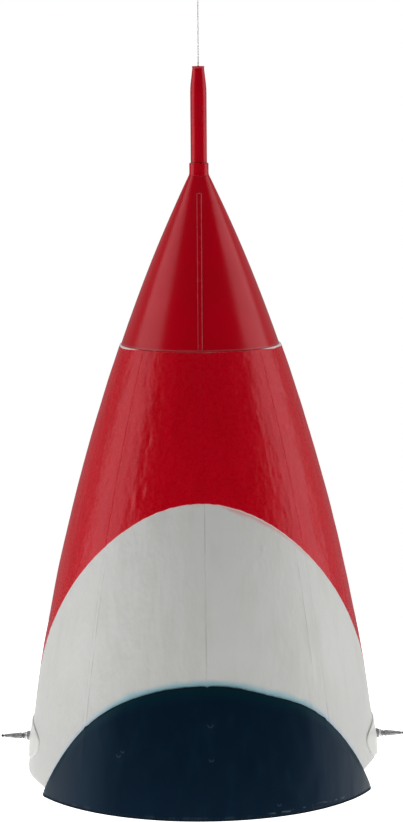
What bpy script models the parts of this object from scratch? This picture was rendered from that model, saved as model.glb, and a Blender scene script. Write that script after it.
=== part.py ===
"""A model rocket: a round, curved-sided cone that hangs from a thin wire.

The world origin is the bearing point at the top of the wire's loop. The front faces -Y, +X is to the right
and +Z is up. Every height below is measured up from the base plane, the level of the skirts' lower edges,
and an empty named base_plane holds the whole rocket at its hanging height.
"""

from math import ceil, copysign, cos, hypot, pi, radians, sin, sqrt

import bmesh
import bpy
from mathutils import Matrix, Vector

# Driving dimensions, in metres, and angles in radians.
FULL_TURN = 2 * pi
GAP = 0.0003  # between two pieces that touch
HANG_HEIGHT = 0.5000  # base plane to the bearing point of the loop

HULL_BASE_RADIUS = 0.1083
HULL_TOP_RADIUS = 0.0486
HULL_TOP = 0.2672
HULL_BULGE = 0.00805  # sagitta of the hull's curved side
HULL_RIM = 0.0024
HULL_WALL = 0.0016
HULL_TURN = radians(1.4)  # the gores' seams are this far off the nose's strip
GORES = 8
GORE_GAP = radians(0.36)

NOSE_TOP = 0.3684
NOSE_TOP_RADIUS = 0.0062
NOSE_BASE = 0.2678
NOSE_BASE_RADIUS = 0.0476
NOSE_BULGE = 0.0016
NOSE_WALL = 0.0017
STRIP_WIDTH = 0.0030
STRIP_THICKNESS = 0.0006
STRIP_FOOT = 0.2695
STRIP_HEAD = 0.3585

PROBE_RADIUS = 0.0049
PROBE_WALL = 0.0007
PROBE_TIP_RADIUS = 0.0035
PROBE_FOOT = 0.3520
PROBE_SHOULDER = 0.4205
PROBE_TIP = 0.4336
COLLAR_RADIUS = 0.0058
COLLAR_HEIGHT = 0.0072
PROBE_RIM = 0.00025  # the turned-over edge at the probe's tip
COLLAR_EDGE = 0.0004
TIP_BLOCK_FOOT = 0.3450
TIP_BLOCK_TOP = 0.3638

WIRE_DIAMETER = 0.0008
PLUG_FOOT = 0.4270
PLUG_TOP = 0.4312
STOP_RADIUS = 0.0016
STOP_HEIGHT = 0.0032
FERRULE_FOOT = 0.4775
FERRULE_TOP = 0.4869
FERRULE_RADIUS = 0.0013
LOOP_HALF_WIDTH = 0.0042
LOOP_HALF_HEIGHT = 0.0064
WIRE_POINT_SPACING = 2.5 * WIRE_DIAMETER

SHOULDER_RADIUS = 0.0400
SHOULDER_WALL = 0.0016
SHOULDER_FOOT = 0.2460
SHOULDER_TOP = 0.2790
BULKHEAD_FOOT = 0.2500
PLY = 0.0030  # thickness of every flat former, ring and bulkhead
WEIGHT_RADIUS = 0.0210
WEIGHT_HEIGHT = 0.0060
SLIDE_GAP = 0.0004  # between the nose's shoulder and the neck ring it pulls out of

STRINGER_WIDTH = 0.0040
STRINGER_DEPTH = 0.0030
STRINGER_FOOT = 0.0060
STRINGER_TOP = 0.2540
SIDE_STRINGER_FOOT = 0.0440
NECK_RING_FOOT = 0.2570
FORMERS = {"former_lower": 0.0900, "former_middle": 0.1450, "former_upper": 0.2000}
BASE_PLATE_FOOT = 0.0380
LIGHTENING_HOLES = 6

FINE_STEPS = 48  # sides of the round pieces that show
PLAIN_STEPS = 28  # sides of those inside
SMALL_STEPS = 16  # sides of the smallest
NOSE_ROWS = 8
BATTEN_ROWS = 10
GORE_ROWS = 10
GORE_COLUMNS = 8
SKIRT_ROWS = 5
SKIRT_COLUMNS = 26
FAIRING_ROWS = 4
FAIRING_COLUMNS = 14
LOOP_POINTS = 24
TRIM_MARGIN = 0.0020  # how far a skin reaches past the outline that trims it
BELOW_BASE = 0.0100  # how far an outline that is open below runs past the base plane

MOTOR_TUBE_RADIUS = 0.0128
MOTOR_TUBE_BORE = 0.0123
MOTOR_TUBE_FOOT = 0.0120
MOTOR_TUBE_TOP = 0.2320
MOTOR_RADIUS = 0.0119
MOTOR_FOOT = 0.0080
MOTOR_LENGTH = 0.0700
MOTOR_WALL = 0.0025
NOZZLE_HEIGHT = 0.0080
NOZZLE_MOUTH = 0.62  # as shares of the nozzle's outer radius
NOZZLE_THROAT = 0.24
NOZZLE_CONE = 0.55  # share of the nozzle's height that flares
THRUST_RING_HEIGHT = 0.0060

SKIRT_HALF_ANGLE = radians(65.9)
SKIRT_HEIGHT = 0.0776
SKIRT_POWER = 2.4
SKIRT_THICKNESS = 0.0010
SKIRT_TURN = radians(3.0)
SKIRT_MARGIN = radians(2.0)

SPIKE_HEIGHT = 0.0243
FAIRING_HALF_WIDTH = 0.0366
FAIRING_WIDEST = 0.0285
FAIRING_RISE = 0.0078
FAIRING_DROP = 0.0155
FAIRING_THICKNESS = 0.0012
FAIRING_SPREAD = radians(52)
SPIKE_HOLE = 0.0017
HOLE_DEPTH = 0.0600
SPIKE_SHANK = 0.0012
SHANK_LENGTH = 0.0110
FLANGE_RADIUS = 0.0031
FLANGE_LENGTH = 0.0024
FLANGE_EDGE = 0.0006
FLANGE_LIP = 0.0006
FLANGE_WAIST = (0.72, 0.45)  # where the bell turns in, as shares of its radius and length
SPIKE_ROOT_RADIUS = 0.0016
SPIKE_TIP_RADIUS = 0.0008
SPIKE_BEAD_RADIUS = 0.0009
SPIKE_BEAD_TURN = 0.75 * pi
SPIKE_NECK_RADIUS = 0.00064
SPIKE_NECK_LENGTH = 0.0006
SPIKE_ROOT_EDGE = 0.0004
SPIKE_LENGTH = 0.0150
BLOCK_FOOT = 0.0190
BLOCK_TOP = 0.0350
BLOCK_WIDTH = 0.0140
BLOCK_DEPTH = 0.0080
# The cut-out in the rim on each side, under the fairing: a flat-topped superellipse of these heights.
SIDE_ARCHES = {"left": 0.0058, "right": 0.0144}
SIDE_ARCH_HALF_WIDTH = 0.0540
SIDE_ARCH_POWER = 5.0

COLOURS = {
    "red_paint": ((0.55, 0.006, 0.014), 0.32, 0.0),
    "white_paint": ((0.56, 0.56, 0.53), 0.45, 0.0),
    "navy_paint": ((0.012, 0.030, 0.055), 0.42, 0.0),
    "bright_metal": ((0.55, 0.55, 0.56), 0.25, 1.0),
    "wire_metal": ((0.50, 0.50, 0.52), 0.30, 1.0),
    "lead": ((0.20, 0.20, 0.21), 0.60, 1.0),
    "balsa": ((0.62, 0.46, 0.28), 0.80, 0.0),
    "plywood": ((0.50, 0.34, 0.18), 0.75, 0.0),
    "card_tube": ((0.46, 0.33, 0.20), 0.85, 0.0),
    "motor_paper": ((0.33, 0.24, 0.16), 0.80, 0.0),
    "clay": ((0.30, 0.26, 0.22), 0.95, 0.0),
}


def clear_scene():
    for obj in list(bpy.data.objects):
        bpy.data.objects.remove(obj, do_unlink=True)


def new_collection(name):
    collection = bpy.data.collections.new(name)
    bpy.context.scene.collection.children.link(collection)
    return collection


def material_for(part_name, finish):
    colour, roughness, metallic = COLOURS[finish]
    material = bpy.data.materials.new(f"{part_name}_{finish}")
    material.use_nodes = True
    shader = material.node_tree.nodes["Principled BSDF"]
    shader.inputs["Base Color"].default_value = (*colour, 1.0)
    shader.inputs["Roughness"].default_value = roughness
    shader.inputs["Metallic"].default_value = metallic
    material.diffuse_color = (*colour, 1.0)
    return material


def empty_at(name, height, parent=None):
    empty = bpy.data.objects.new(name, None)
    empty.location = (0.0, 0.0, height)
    empty.parent = parent
    ROCKET.objects.link(empty)
    return empty


def finish_part(obj, finish, parent, location=(0.0, 0.0, 0.0), rotation=(0.0, 0.0, 0.0)):
    """Gives a part its own material, its place under its parent and smooth shading with sharp corners."""
    obj.data.materials.append(material_for(obj.name, finish))
    obj.parent = parent
    obj.location = location
    obj.rotation_euler = rotation
    if obj.type == "MESH":
        obj.data.shade_smooth()
        obj.data.set_sharp_from_angle(angle=radians(35))
    ROCKET.objects.link(obj)
    return obj


def cutter_of(mesh, name, parent, location=(0.0, 0.0, 0.0), rotation=(0.0, 0.0, 0.0)):
    obj = bpy.data.objects.new(name, mesh)
    obj.parent = parent
    obj.location = location
    obj.rotation_euler = rotation
    obj.hide_render = True
    obj.display_type = "WIRE"
    CUTTERS.objects.link(obj)
    return obj


def cut(obj, cutter, operation="DIFFERENCE"):
    modifier = obj.modifiers.new(f"{operation.lower()}_{cutter.name}", "BOOLEAN")
    modifier.operation = operation
    modifier.solver = "EXACT"
    modifier.object = cutter


def mesh_of(name, build):
    """A mesh made by a function that fills a bmesh."""
    bm = bmesh.new()
    build(bm)
    mesh = bpy.data.meshes.new(name)
    bm.to_mesh(mesh)
    bm.free()
    return mesh


def profile_mesh(name, profile, closed):
    def build(bm):
        corners = [bm.verts.new((radius, 0.0, height)) for radius, height in profile]
        for first, second in zip(corners, corners[1:]):
            bm.edges.new((first, second))
        if closed:
            bm.edges.new((corners[-1], corners[0]))

    return mesh_of(name, build)


def screw(obj, steps, angle=FULL_TURN):
    modifier = obj.modifiers.new("turn", "SCREW")
    modifier.angle = angle
    modifier.steps = steps
    modifier.render_steps = steps
    modifier.use_merge_vertices = angle == FULL_TURN
    modifier.merge_threshold = 0.00001
    modifier.use_smooth_shade = True
    return modifier


def turned(name, profile, finish, parent, steps=PLAIN_STEPS, closed=True, **place):
    """A solid of revolution about its own Z. Its profile runs down the outer side and up the inner one."""
    obj = bpy.data.objects.new(name, profile_mesh(name, profile, closed))
    screw(obj, steps)
    return finish_part(obj, finish, parent, **place)


def turned_tube(name, outer, inner, foot, top, finish, parent, steps=PLAIN_STEPS, **place):
    profile = [(outer, top), (outer, foot), (inner, foot), (inner, top)]
    return turned(name, profile, finish, parent, steps, **place)


def solid_cylinder_mesh(name, radius, length, segments=32):
    def build(bm):
        bmesh.ops.create_cone(
            bm, cap_ends=True, segments=segments, radius1=radius, radius2=radius, depth=length
        )

    return mesh_of(name, build)


def solid_box_mesh(name, size):
    def build(bm):
        bmesh.ops.create_cube(bm, size=1.0, matrix=Matrix.Diagonal((*size, 1.0)))

    return mesh_of(name, build)


def side_curve(foot, top, bulge):
    """Radius as a function of height, along the circular arc from foot to top with the given sagitta."""
    (foot_radius, foot_height), (top_radius, top_height) = foot, top
    half_chord = hypot(top_radius - foot_radius, top_height - foot_height) / 2
    curve_radius = (half_chord**2 + bulge**2) / (2 * bulge)
    middle = Vector(((foot_radius + top_radius) / 2, (foot_height + top_height) / 2))
    inward = Vector((foot_height - top_height, top_radius - foot_radius)).normalized()
    centre = middle + inward * (curve_radius - bulge)

    def radius_at(height):
        return centre.x + sqrt(curve_radius**2 - (height - centre.y) ** 2)

    return radius_at


def steps_between(first, last, count):
    return [first + (last - first) * index / count for index in range(count + 1)]


def facing(azimuth):
    """Rotation about Z that turns +X to an azimuth counted from the front (-Y) towards the right (+X)."""
    return (0.0, 0.0, azimuth - pi / 2)


clear_scene()
ROCKET = new_collection("model_rocket")
CUTTERS = new_collection("cutters")
HULL_RADIUS = side_curve((HULL_BASE_RADIUS, 0.0), (HULL_TOP_RADIUS, HULL_TOP), HULL_BULGE)
NOSE_RADIUS = side_curve((NOSE_BASE_RADIUS, NOSE_BASE), (NOSE_TOP_RADIUS, NOSE_TOP), NOSE_BULGE)


def hull_inside(height):
    return HULL_RADIUS(height) - HULL_WALL


def revolved_skin(name, radius_at, heights, spread, columns, thickness):
    """A skin over part of a turn, centred on +X, thickened inwards. The heights run downwards."""
    profile = [(radius_at(height), height) for height in heights]
    obj = bpy.data.objects.new(name, profile_mesh(name, profile, closed=False))
    for corner in obj.data.vertices:
        corner.co.rotate(Matrix.Rotation(-spread / 2, 3, "Z"))
    screw(obj, columns, spread)
    solidify = obj.modifiers.new("wall", "SOLIDIFY")
    solidify.thickness = thickness
    solidify.offset = -1.0
    return obj


def curved_batten(name, surface, heights, section, azimuth, finish, parent):
    """A straight-sided stick bent along a turned surface, its outer face on that surface."""
    width, depth = section

    def build(bm):
        row = [bm.verts.new((surface(height), -width / 2, height)) for height in heights]
        edges = [bm.edges.new(pair) for pair in zip(row, row[1:])]
        made = bmesh.ops.extrude_edge_only(bm, edges=edges)["geom"]
        moved = [part for part in made if isinstance(part, bmesh.types.BMVert)]
        bmesh.ops.translate(bm, verts=moved, vec=(0.0, width, 0.0))
        bmesh.ops.recalc_face_normals(bm, faces=bm.faces)
        if bm.faces[:][0].normal.x < 0:
            bmesh.ops.reverse_faces(bm, faces=bm.faces)

    obj = bpy.data.objects.new(name, mesh_of(name, build))
    solidify = obj.modifiers.new("depth", "SOLIDIFY")
    solidify.thickness = depth
    solidify.offset = -1.0
    return finish_part(obj, finish, parent, rotation=facing(azimuth))


# The wire that the rocket hangs from, with its loop, ferrule and stop.


def build_wire(parent):
    stop_top = PLUG_FOOT - GAP
    stop_foot = stop_top - STOP_HEIGHT
    ease = STOP_HEIGHT / 4
    turned(
        "wire_stop",
        [
            (0.0, stop_top),
            (STOP_RADIUS - ease / 2, stop_top),
            (STOP_RADIUS, stop_top - ease),
            (STOP_RADIUS, stop_foot + ease),
            (STOP_RADIUS - ease / 2, stop_foot),
            (0.0, stop_foot),
        ],
        "wire_metal",
        parent,
        steps=SMALL_STEPS,
        closed=False,
    )
    wire_foot = stop_top + GAP
    wire_top = FERRULE_FOOT - GAP
    count = ceil((wire_top - wire_foot) / WIRE_POINT_SPACING)
    heights = steps_between(wire_foot, wire_top, count)
    wire_curve("suspension_wire", [(0.0, 0.0, height) for height in heights], False, parent)
    ease = FERRULE_RADIUS / 3
    turned(
        "loop_ferrule",
        [
            (0.0, FERRULE_TOP),
            (FERRULE_RADIUS - ease, FERRULE_TOP),
            (FERRULE_RADIUS, FERRULE_TOP - ease),
            (FERRULE_RADIUS, FERRULE_FOOT + ease),
            (FERRULE_RADIUS - ease, FERRULE_FOOT),
            (0.0, FERRULE_FOOT),
        ],
        "wire_metal",
        parent,
        steps=SMALL_STEPS,
        closed=False,
    )
    centre = FERRULE_TOP + GAP + WIRE_DIAMETER / 2 + LOOP_HALF_HEIGHT
    turns = [2 * pi * index / LOOP_POINTS for index in range(LOOP_POINTS)]
    points = [
        (LOOP_HALF_WIDTH * sin(turn), 0.0, centre + LOOP_HALF_HEIGHT * cos(turn)) for turn in turns
    ]
    wire_curve("hanging_loop", points, True, parent)


def wire_curve(name, points, cyclic, parent):
    curve = bpy.data.curves.new(name, "CURVE")
    curve.dimensions = "3D"
    curve.bevel_depth = WIRE_DIAMETER / 2
    curve.bevel_resolution = 2
    curve.use_fill_caps = True
    spline = curve.splines.new("POLY")
    spline.points.add(len(points) - 1)
    for point, place in zip(spline.points, points):
        point.co = (*place, 1.0)
    spline.use_cyclic_u = cyclic
    return finish_part(bpy.data.objects.new(name, curve), "wire_metal", parent)


# The nose: probe tube, collar, cone and what holds them together.


def probe_outer(height):
    taper = max(0.0, (height - PROBE_SHOULDER) / (PROBE_TIP - PROBE_SHOULDER))
    return PROBE_RADIUS + (PROBE_TIP_RADIUS - PROBE_RADIUS) * taper


def build_probe(parent):
    turned(
        "probe_tube",
        [
            (PROBE_TIP_RADIUS - PROBE_RIM, PROBE_TIP),
            (PROBE_TIP_RADIUS, PROBE_TIP - PROBE_RIM),
            (PROBE_RADIUS, PROBE_SHOULDER),
            (PROBE_RADIUS, PROBE_FOOT),
            (PROBE_RADIUS - PROBE_WALL, PROBE_FOOT),
            (PROBE_RADIUS - PROBE_WALL, PROBE_SHOULDER),
            (PROBE_TIP_RADIUS - PROBE_WALL, PROBE_TIP),
        ],
        "red_paint",
        parent,
    )
    clearance = PROBE_WALL + GAP
    turned(
        "tip_plug",
        [
            (probe_outer(PLUG_TOP) - clearance, PLUG_TOP),
            (probe_outer(PLUG_FOOT) - clearance, PLUG_FOOT),
            (WIRE_DIAMETER, PLUG_FOOT),
            (WIRE_DIAMETER, PLUG_TOP),
        ],
        "red_paint",
        parent,
        steps=SMALL_STEPS,
    )
    bore = PROBE_RADIUS + GAP
    foot = NOSE_TOP + GAP
    top = foot + COLLAR_HEIGHT
    turned(
        "probe_collar",
        [
            (bore, top),
            (COLLAR_RADIUS - COLLAR_EDGE, top),
            (COLLAR_RADIUS, top - COLLAR_EDGE),
            (COLLAR_RADIUS, foot),
            (bore, foot),
        ],
        "red_paint",
        parent,
    )


def nose_inside(height):
    return max(PROBE_RADIUS + GAP, NOSE_RADIUS(height) - NOSE_WALL)


def build_nose(parent):
    downwards = steps_between(NOSE_TOP, NOSE_BASE, NOSE_ROWS)
    outer = [(NOSE_RADIUS(height), height) for height in downwards]
    inner = [(nose_inside(height), height) for height in reversed(downwards)]
    turned("nose_cone", outer + inner, "red_paint", parent, steps=FINE_STEPS)
    curved_batten(
        "nose_strip",
        lambda height: NOSE_RADIUS(height) + GAP + STRIP_THICKNESS,
        steps_between(STRIP_FOOT, STRIP_HEAD, NOSE_ROWS),
        (STRIP_WIDTH, STRIP_THICKNESS),
        0.0,
        "red_paint",
        parent,
    )
    heights = steps_between(TIP_BLOCK_TOP, TIP_BLOCK_FOOT, NOSE_ROWS // 2)
    bore = PROBE_RADIUS + GAP
    outside = [(nose_inside(height) - 2 * GAP, height) for height in heights]
    turned(
        "tip_block",
        [*outside, (bore, TIP_BLOCK_FOOT), (bore, heights[0])],
        "balsa",
        parent,
    )
    foot = NOSE_BASE + 2 * GAP
    turned_tube(
        "nose_base_ring",
        nose_inside(foot + PLY) - 2 * GAP,
        SHOULDER_RADIUS + GAP,
        foot,
        foot + PLY,
        "plywood",
        parent,
        steps=FINE_STEPS,
    )
    turned_tube(
        "nose_shoulder",
        SHOULDER_RADIUS,
        SHOULDER_RADIUS - SHOULDER_WALL,
        SHOULDER_FOOT,
        SHOULDER_TOP,
        "card_tube",
        parent,
        steps=FINE_STEPS,
    )
    bulkhead_radius = SHOULDER_RADIUS - SHOULDER_WALL - 2 * GAP
    bulkhead = bpy.data.objects.new(
        "nose_bulkhead", solid_cylinder_mesh("nose_bulkhead", bulkhead_radius, PLY, FINE_STEPS)
    )
    finish_part(bulkhead, "plywood", parent, location=(0.0, 0.0, BULKHEAD_FOOT + PLY / 2))
    weight_foot = BULKHEAD_FOOT + PLY + GAP
    turned_tube(
        "nose_weight",
        WEIGHT_RADIUS,
        WEIGHT_RADIUS / 4,
        weight_foot,
        weight_foot + WEIGHT_HEIGHT,
        "lead",
        parent,
    )


# The hull: gores on stringers and formers, painted skirts front and back.


def build_gores(parent, holes, arches):
    span = 2 * pi / GORES
    for index in range(GORES):
        skin = revolved_skin(
            f"hull_gore_{index + 1}",
            HULL_RADIUS,
            steps_between(HULL_TOP - GAP, HULL_RIM, GORE_ROWS),
            span - GORE_GAP,
            GORE_COLUMNS,
            HULL_WALL,
        )
        azimuth = HULL_TURN + span * (index + 0.5)
        finish_part(skin, "red_paint", parent, rotation=facing(azimuth))
        side = "right" if azimuth < pi else "left"
        if abs(abs((azimuth % pi) - pi / 2)) < span:
            cut(skin, arches[side])
            cut(skin, holes[side])


def build_frame(parent):
    span = 2 * pi / GORES
    azimuths = [HULL_TURN + span * index for index in range(GORES)]
    for index, azimuth in enumerate(azimuths):
        foot = SIDE_STRINGER_FOOT if index % 4 == 2 else STRINGER_FOOT
        curved_batten(
            f"stringer_{index + 1}",
            lambda height: hull_inside(height) - GAP,
            steps_between(foot, STRINGER_TOP, BATTEN_ROWS),
            (STRINGER_WIDTH, STRINGER_DEPTH),
            azimuth,
            "balsa",
            parent,
        )
    bore = MOTOR_TUBE_RADIUS + GAP
    for name, foot in {**FORMERS, "base_plate": BASE_PLATE_FOOT}.items():
        top = foot + PLY
        outer = hull_inside(top) - 2 * GAP
        former = turned_tube(name, outer, bore, foot, top, "plywood", parent, steps=FINE_STEPS)
        slots = slot_cutter(name, outer, foot, azimuths)
        cut(former, cutter_of(slots, f"{name}_slots", parent, (0.0, 0.0, foot + PLY / 2)))
        if name != "base_plate":
            holes = lightening_cutter(name, (outer - STRINGER_DEPTH + bore) / 2, (outer - bore) / 4)
            cut(former, cutter_of(holes, f"{name}_holes", parent, (0.0, 0.0, foot + PLY / 2)))
    turned_tube(
        "neck_ring",
        hull_inside(NECK_RING_FOOT + PLY) - 2 * GAP,
        SHOULDER_RADIUS + SLIDE_GAP,
        NECK_RING_FOOT,
        NECK_RING_FOOT + PLY,
        "plywood",
        parent,
        steps=FINE_STEPS,
    )


def slot_cutter(name, outer, foot, azimuths):
    """Eight blocks, one where each stringer passes through a former."""
    slope = HULL_RADIUS(foot) - HULL_RADIUS(foot + PLY)
    depth = STRINGER_DEPTH + slope + 4 * GAP
    size = (2 * depth, STRINGER_WIDTH + 2 * GAP, 3 * PLY)

    def build(bm):
        for azimuth in azimuths:
            turn = Matrix.Rotation(facing(azimuth)[2], 4, "Z")
            place = Matrix.Translation((outer, 0.0, 0.0))
            bmesh.ops.create_cube(bm, size=1.0, matrix=turn @ place @ Matrix.Diagonal((*size, 1.0)))

    return mesh_of(f"{name}_slots", build)


def lightening_cutter(name, middle, radius):
    """A ring of round holes between the motor tube and the stringers."""

    def build(bm):
        for index in range(LIGHTENING_HOLES):
            turn = Matrix.Rotation(2 * pi * index / LIGHTENING_HOLES, 4, "Z")
            place = Matrix.Translation((middle, 0.0, 0.0))
            bmesh.ops.create_cone(
                bm,
                cap_ends=True,
                segments=16,
                radius1=radius,
                radius2=radius,
                depth=3 * PLY,
                matrix=turn @ place,
            )

    return mesh_of(f"{name}_holes", build)


def skirt_outline():
    """The arch of a skirt as seen from the front, closed below the base plane."""
    arch = []
    for fraction in steps_between(-1.0, 1.0, SKIRT_COLUMNS + 2):
        height = SKIRT_HEIGHT * (1 - abs(fraction) ** SKIRT_POWER)
        reach = HULL_RADIUS(height) + GAP + SKIRT_THICKNESS
        arch.append((reach * sin(fraction * SKIRT_HALF_ANGLE), height))
    return [(arch[0][0], -BELOW_BASE), *arch, (arch[-1][0], -BELOW_BASE)]


def outline_prism(name, outline, depth):
    """A flat outline in X and Z, given depth along Y, as a closed mesh."""

    def build(bm):
        corners = [bm.verts.new((x, -depth / 2, z)) for x, z in outline]
        face = bm.faces.new(corners)
        made = bmesh.ops.extrude_face_region(bm, geom=[face])["geom"]
        moved = [part for part in made if isinstance(part, bmesh.types.BMVert)]
        bmesh.ops.translate(bm, verts=moved, vec=(0.0, depth, 0.0))
        bmesh.ops.recalc_face_normals(bm, faces=bm.faces)

    return mesh_of(name, build)


def build_skirts(parent):
    depth = 2 * HULL_BASE_RADIUS
    for name, azimuth in (("front_skirt", SKIRT_TURN), ("back_skirt", SKIRT_TURN + pi)):
        skin = revolved_skin(
            name,
            lambda height: HULL_RADIUS(height) + GAP + SKIRT_THICKNESS,
            steps_between(SKIRT_HEIGHT + TRIM_MARGIN, 0.0, SKIRT_ROWS),
            2 * (SKIRT_HALF_ANGLE + SKIRT_MARGIN),
            SKIRT_COLUMNS,
            SKIRT_THICKNESS,
        )
        finish_part(skin, "navy_paint", parent, rotation=facing(azimuth))
        arch = outline_prism(f"{name}_arch", skirt_outline(), depth)
        turn = (0.0, 0.0, azimuth)
        place = (depth / 2 * sin(azimuth), -depth / 2 * cos(azimuth), 0.0)
        cut(skin, cutter_of(arch, f"{name}_arch", parent, place, turn), "INTERSECT")


# The sides: fairings, spikes and the blocks that hold them.


def side_arch_cutter(side, parent):
    """The low arch cut out of the rim under a fairing."""
    height = SIDE_ARCHES[side]
    outline = [(-SIDE_ARCH_HALF_WIDTH, -BELOW_BASE)]
    for turn in steps_between(pi, 0.0, PLAIN_STEPS - 4):
        across = copysign(abs(cos(turn)) ** (2 / SIDE_ARCH_POWER), cos(turn))
        up = abs(sin(turn)) ** (2 / SIDE_ARCH_POWER)
        outline.append((SIDE_ARCH_HALF_WIDTH * across, height * up))
    outline.append((SIDE_ARCH_HALF_WIDTH, -BELOW_BASE))
    direction = 1 if side == "right" else -1
    depth = 2 * HULL_BASE_RADIUS
    prism = outline_prism(f"{side}_rim_arch", outline, depth)
    place = (direction * (depth / 2 + HULL_BASE_RADIUS / 3), 0.0, 0.0)
    return cutter_of(prism, f"{side}_rim_arch", parent, place, (0.0, 0.0, pi / 2))


def side_hole_cutter(side, parent):
    direction = 1 if side == "right" else -1
    mesh = solid_cylinder_mesh(f"{side}_spike_hole", SPIKE_HOLE, HOLE_DEPTH, SMALL_STEPS)
    place = (direction * HULL_BASE_RADIUS, 0.0, SPIKE_HEIGHT)
    return cutter_of(mesh, f"{side}_spike_hole", parent, place, (0.0, pi / 2, 0.0))


def build_side(side, parent, hole, arch):
    azimuth = pi / 2 if side == "right" else -pi / 2
    direction = 1 if side == "right" else -1
    top, foot = FAIRING_WIDEST + FAIRING_RISE, FAIRING_WIDEST - FAIRING_DROP
    fairing = revolved_skin(
        f"{side}_fairing",
        lambda height: HULL_RADIUS(height) + GAP + FAIRING_THICKNESS,
        steps_between(top + TRIM_MARGIN, foot - TRIM_MARGIN, FAIRING_ROWS),
        FAIRING_SPREAD,
        FAIRING_COLUMNS,
        FAIRING_THICKNESS,
    )
    finish_part(fairing, "white_paint", parent, rotation=facing(azimuth))
    oval = []
    for index in range(PLAIN_STEPS):
        turn = 2 * pi * index / PLAIN_STEPS
        depth = FAIRING_RISE if sin(turn) > 0 else FAIRING_DROP
        oval.append((FAIRING_HALF_WIDTH * cos(turn), FAIRING_WIDEST + depth * sin(turn)))
    prism = outline_prism(f"{side}_fairing_oval", oval, HULL_BASE_RADIUS)
    place = (direction * HULL_BASE_RADIUS, 0.0, 0.0)
    trim = cutter_of(prism, f"{side}_fairing_oval", parent, place, (0.0, 0.0, pi / 2))
    cut(fairing, trim, "INTERSECT")
    cut(fairing, arch)
    cut(fairing, hole)

    root = HULL_RADIUS(SPIKE_HEIGHT - FLANGE_RADIUS) + 2 * GAP + FAIRING_THICKNESS
    outward = (0.0, direction * pi / 2, 0.0)
    turned(
        f"{side}_spike_flange",
        [
            (SPIKE_HOLE, FLANGE_LENGTH),
            (SPIKE_HOLE + FLANGE_LIP, FLANGE_LENGTH),
            (FLANGE_RADIUS * FLANGE_WAIST[0], FLANGE_LENGTH * FLANGE_WAIST[1]),
            (FLANGE_RADIUS, FLANGE_EDGE),
            (FLANGE_RADIUS, 0.0),
            (SPIKE_HOLE, 0.0),
        ],
        "bright_metal",
        parent,
        steps=SMALL_STEPS,
        location=(direction * root, 0.0, SPIKE_HEIGHT),
        rotation=outward,
    )
    waist = FLANGE_LENGTH + GAP
    neck = waist + SPIKE_LENGTH - 3 * SPIKE_BEAD_RADIUS
    bead_centre = neck + SPIKE_BEAD_RADIUS
    bead = [
        (SPIKE_BEAD_RADIUS * sin(turn), bead_centre + SPIKE_BEAD_RADIUS * cos(turn))
        for turn in steps_between(0.0, SPIKE_BEAD_TURN, 5)
    ]
    spike_profile = [
        *bead,
        (SPIKE_NECK_RADIUS, neck),
        (SPIKE_TIP_RADIUS, neck - SPIKE_NECK_LENGTH),
        (SPIKE_ROOT_RADIUS, waist + SPIKE_ROOT_EDGE),
        (SPIKE_ROOT_RADIUS, waist),
        (SPIKE_SHANK, waist),
        (SPIKE_SHANK, -SHANK_LENGTH),
        (0.0, -SHANK_LENGTH),
    ]
    turned(
        f"{side}_spike",
        spike_profile,
        "bright_metal",
        parent,
        steps=SMALL_STEPS,
        closed=False,
        location=(direction * root, 0.0, SPIKE_HEIGHT),
        rotation=outward,
    )
    block_outer = hull_inside(BLOCK_TOP) - 3 * GAP
    sagitta = block_outer - sqrt(block_outer**2 - (BLOCK_WIDTH / 2) ** 2)
    block = bpy.data.objects.new(
        f"{side}_spike_block",
        solid_box_mesh(f"{side}_spike_block", (BLOCK_DEPTH, BLOCK_WIDTH, BLOCK_TOP - BLOCK_FOOT)),
    )
    reach = block_outer - sagitta - BLOCK_DEPTH / 2
    finish_part(
        block, "balsa", parent, location=(direction * reach, 0.0, (BLOCK_FOOT + BLOCK_TOP) / 2)
    )
    cut(block, hole)


# The motor and the tube it slides in.


def build_motor(hull, motor):
    turned_tube(
        "motor_tube",
        MOTOR_TUBE_RADIUS,
        MOTOR_TUBE_BORE,
        MOTOR_TUBE_FOOT,
        MOTOR_TUBE_TOP,
        "card_tube",
        hull,
    )
    thrust_foot = MOTOR_FOOT + MOTOR_LENGTH + GAP
    turned_tube(
        "thrust_ring",
        MOTOR_TUBE_BORE - GAP,
        MOTOR_RADIUS - MOTOR_WALL,
        thrust_foot,
        thrust_foot + THRUST_RING_HEIGHT,
        "card_tube",
        hull,
    )
    top = MOTOR_FOOT + MOTOR_LENGTH
    inside = MOTOR_RADIUS - MOTOR_WALL
    turned(
        "motor_case",
        [
            (0.0, top),
            (MOTOR_RADIUS, top),
            (MOTOR_RADIUS, MOTOR_FOOT),
            (inside, MOTOR_FOOT),
            (inside, MOTOR_FOOT + NOZZLE_HEIGHT + 2 * GAP),
            (0.0, MOTOR_FOOT + NOZZLE_HEIGHT + 2 * GAP),
        ],
        "motor_paper",
        motor,
        closed=False,
    )
    nozzle_outer = inside - GAP
    nozzle_foot = MOTOR_FOOT + GAP
    nozzle_top = MOTOR_FOOT + NOZZLE_HEIGHT
    turned(
        "motor_nozzle",
        [
            (nozzle_outer, nozzle_top),
            (nozzle_outer, nozzle_foot),
            (nozzle_outer * NOZZLE_MOUTH, nozzle_foot),
            (nozzle_outer * NOZZLE_THROAT, nozzle_foot + NOZZLE_HEIGHT * NOZZLE_CONE),
            (nozzle_outer * NOZZLE_THROAT, nozzle_top),
        ],
        "clay",
        motor,
    )


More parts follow.
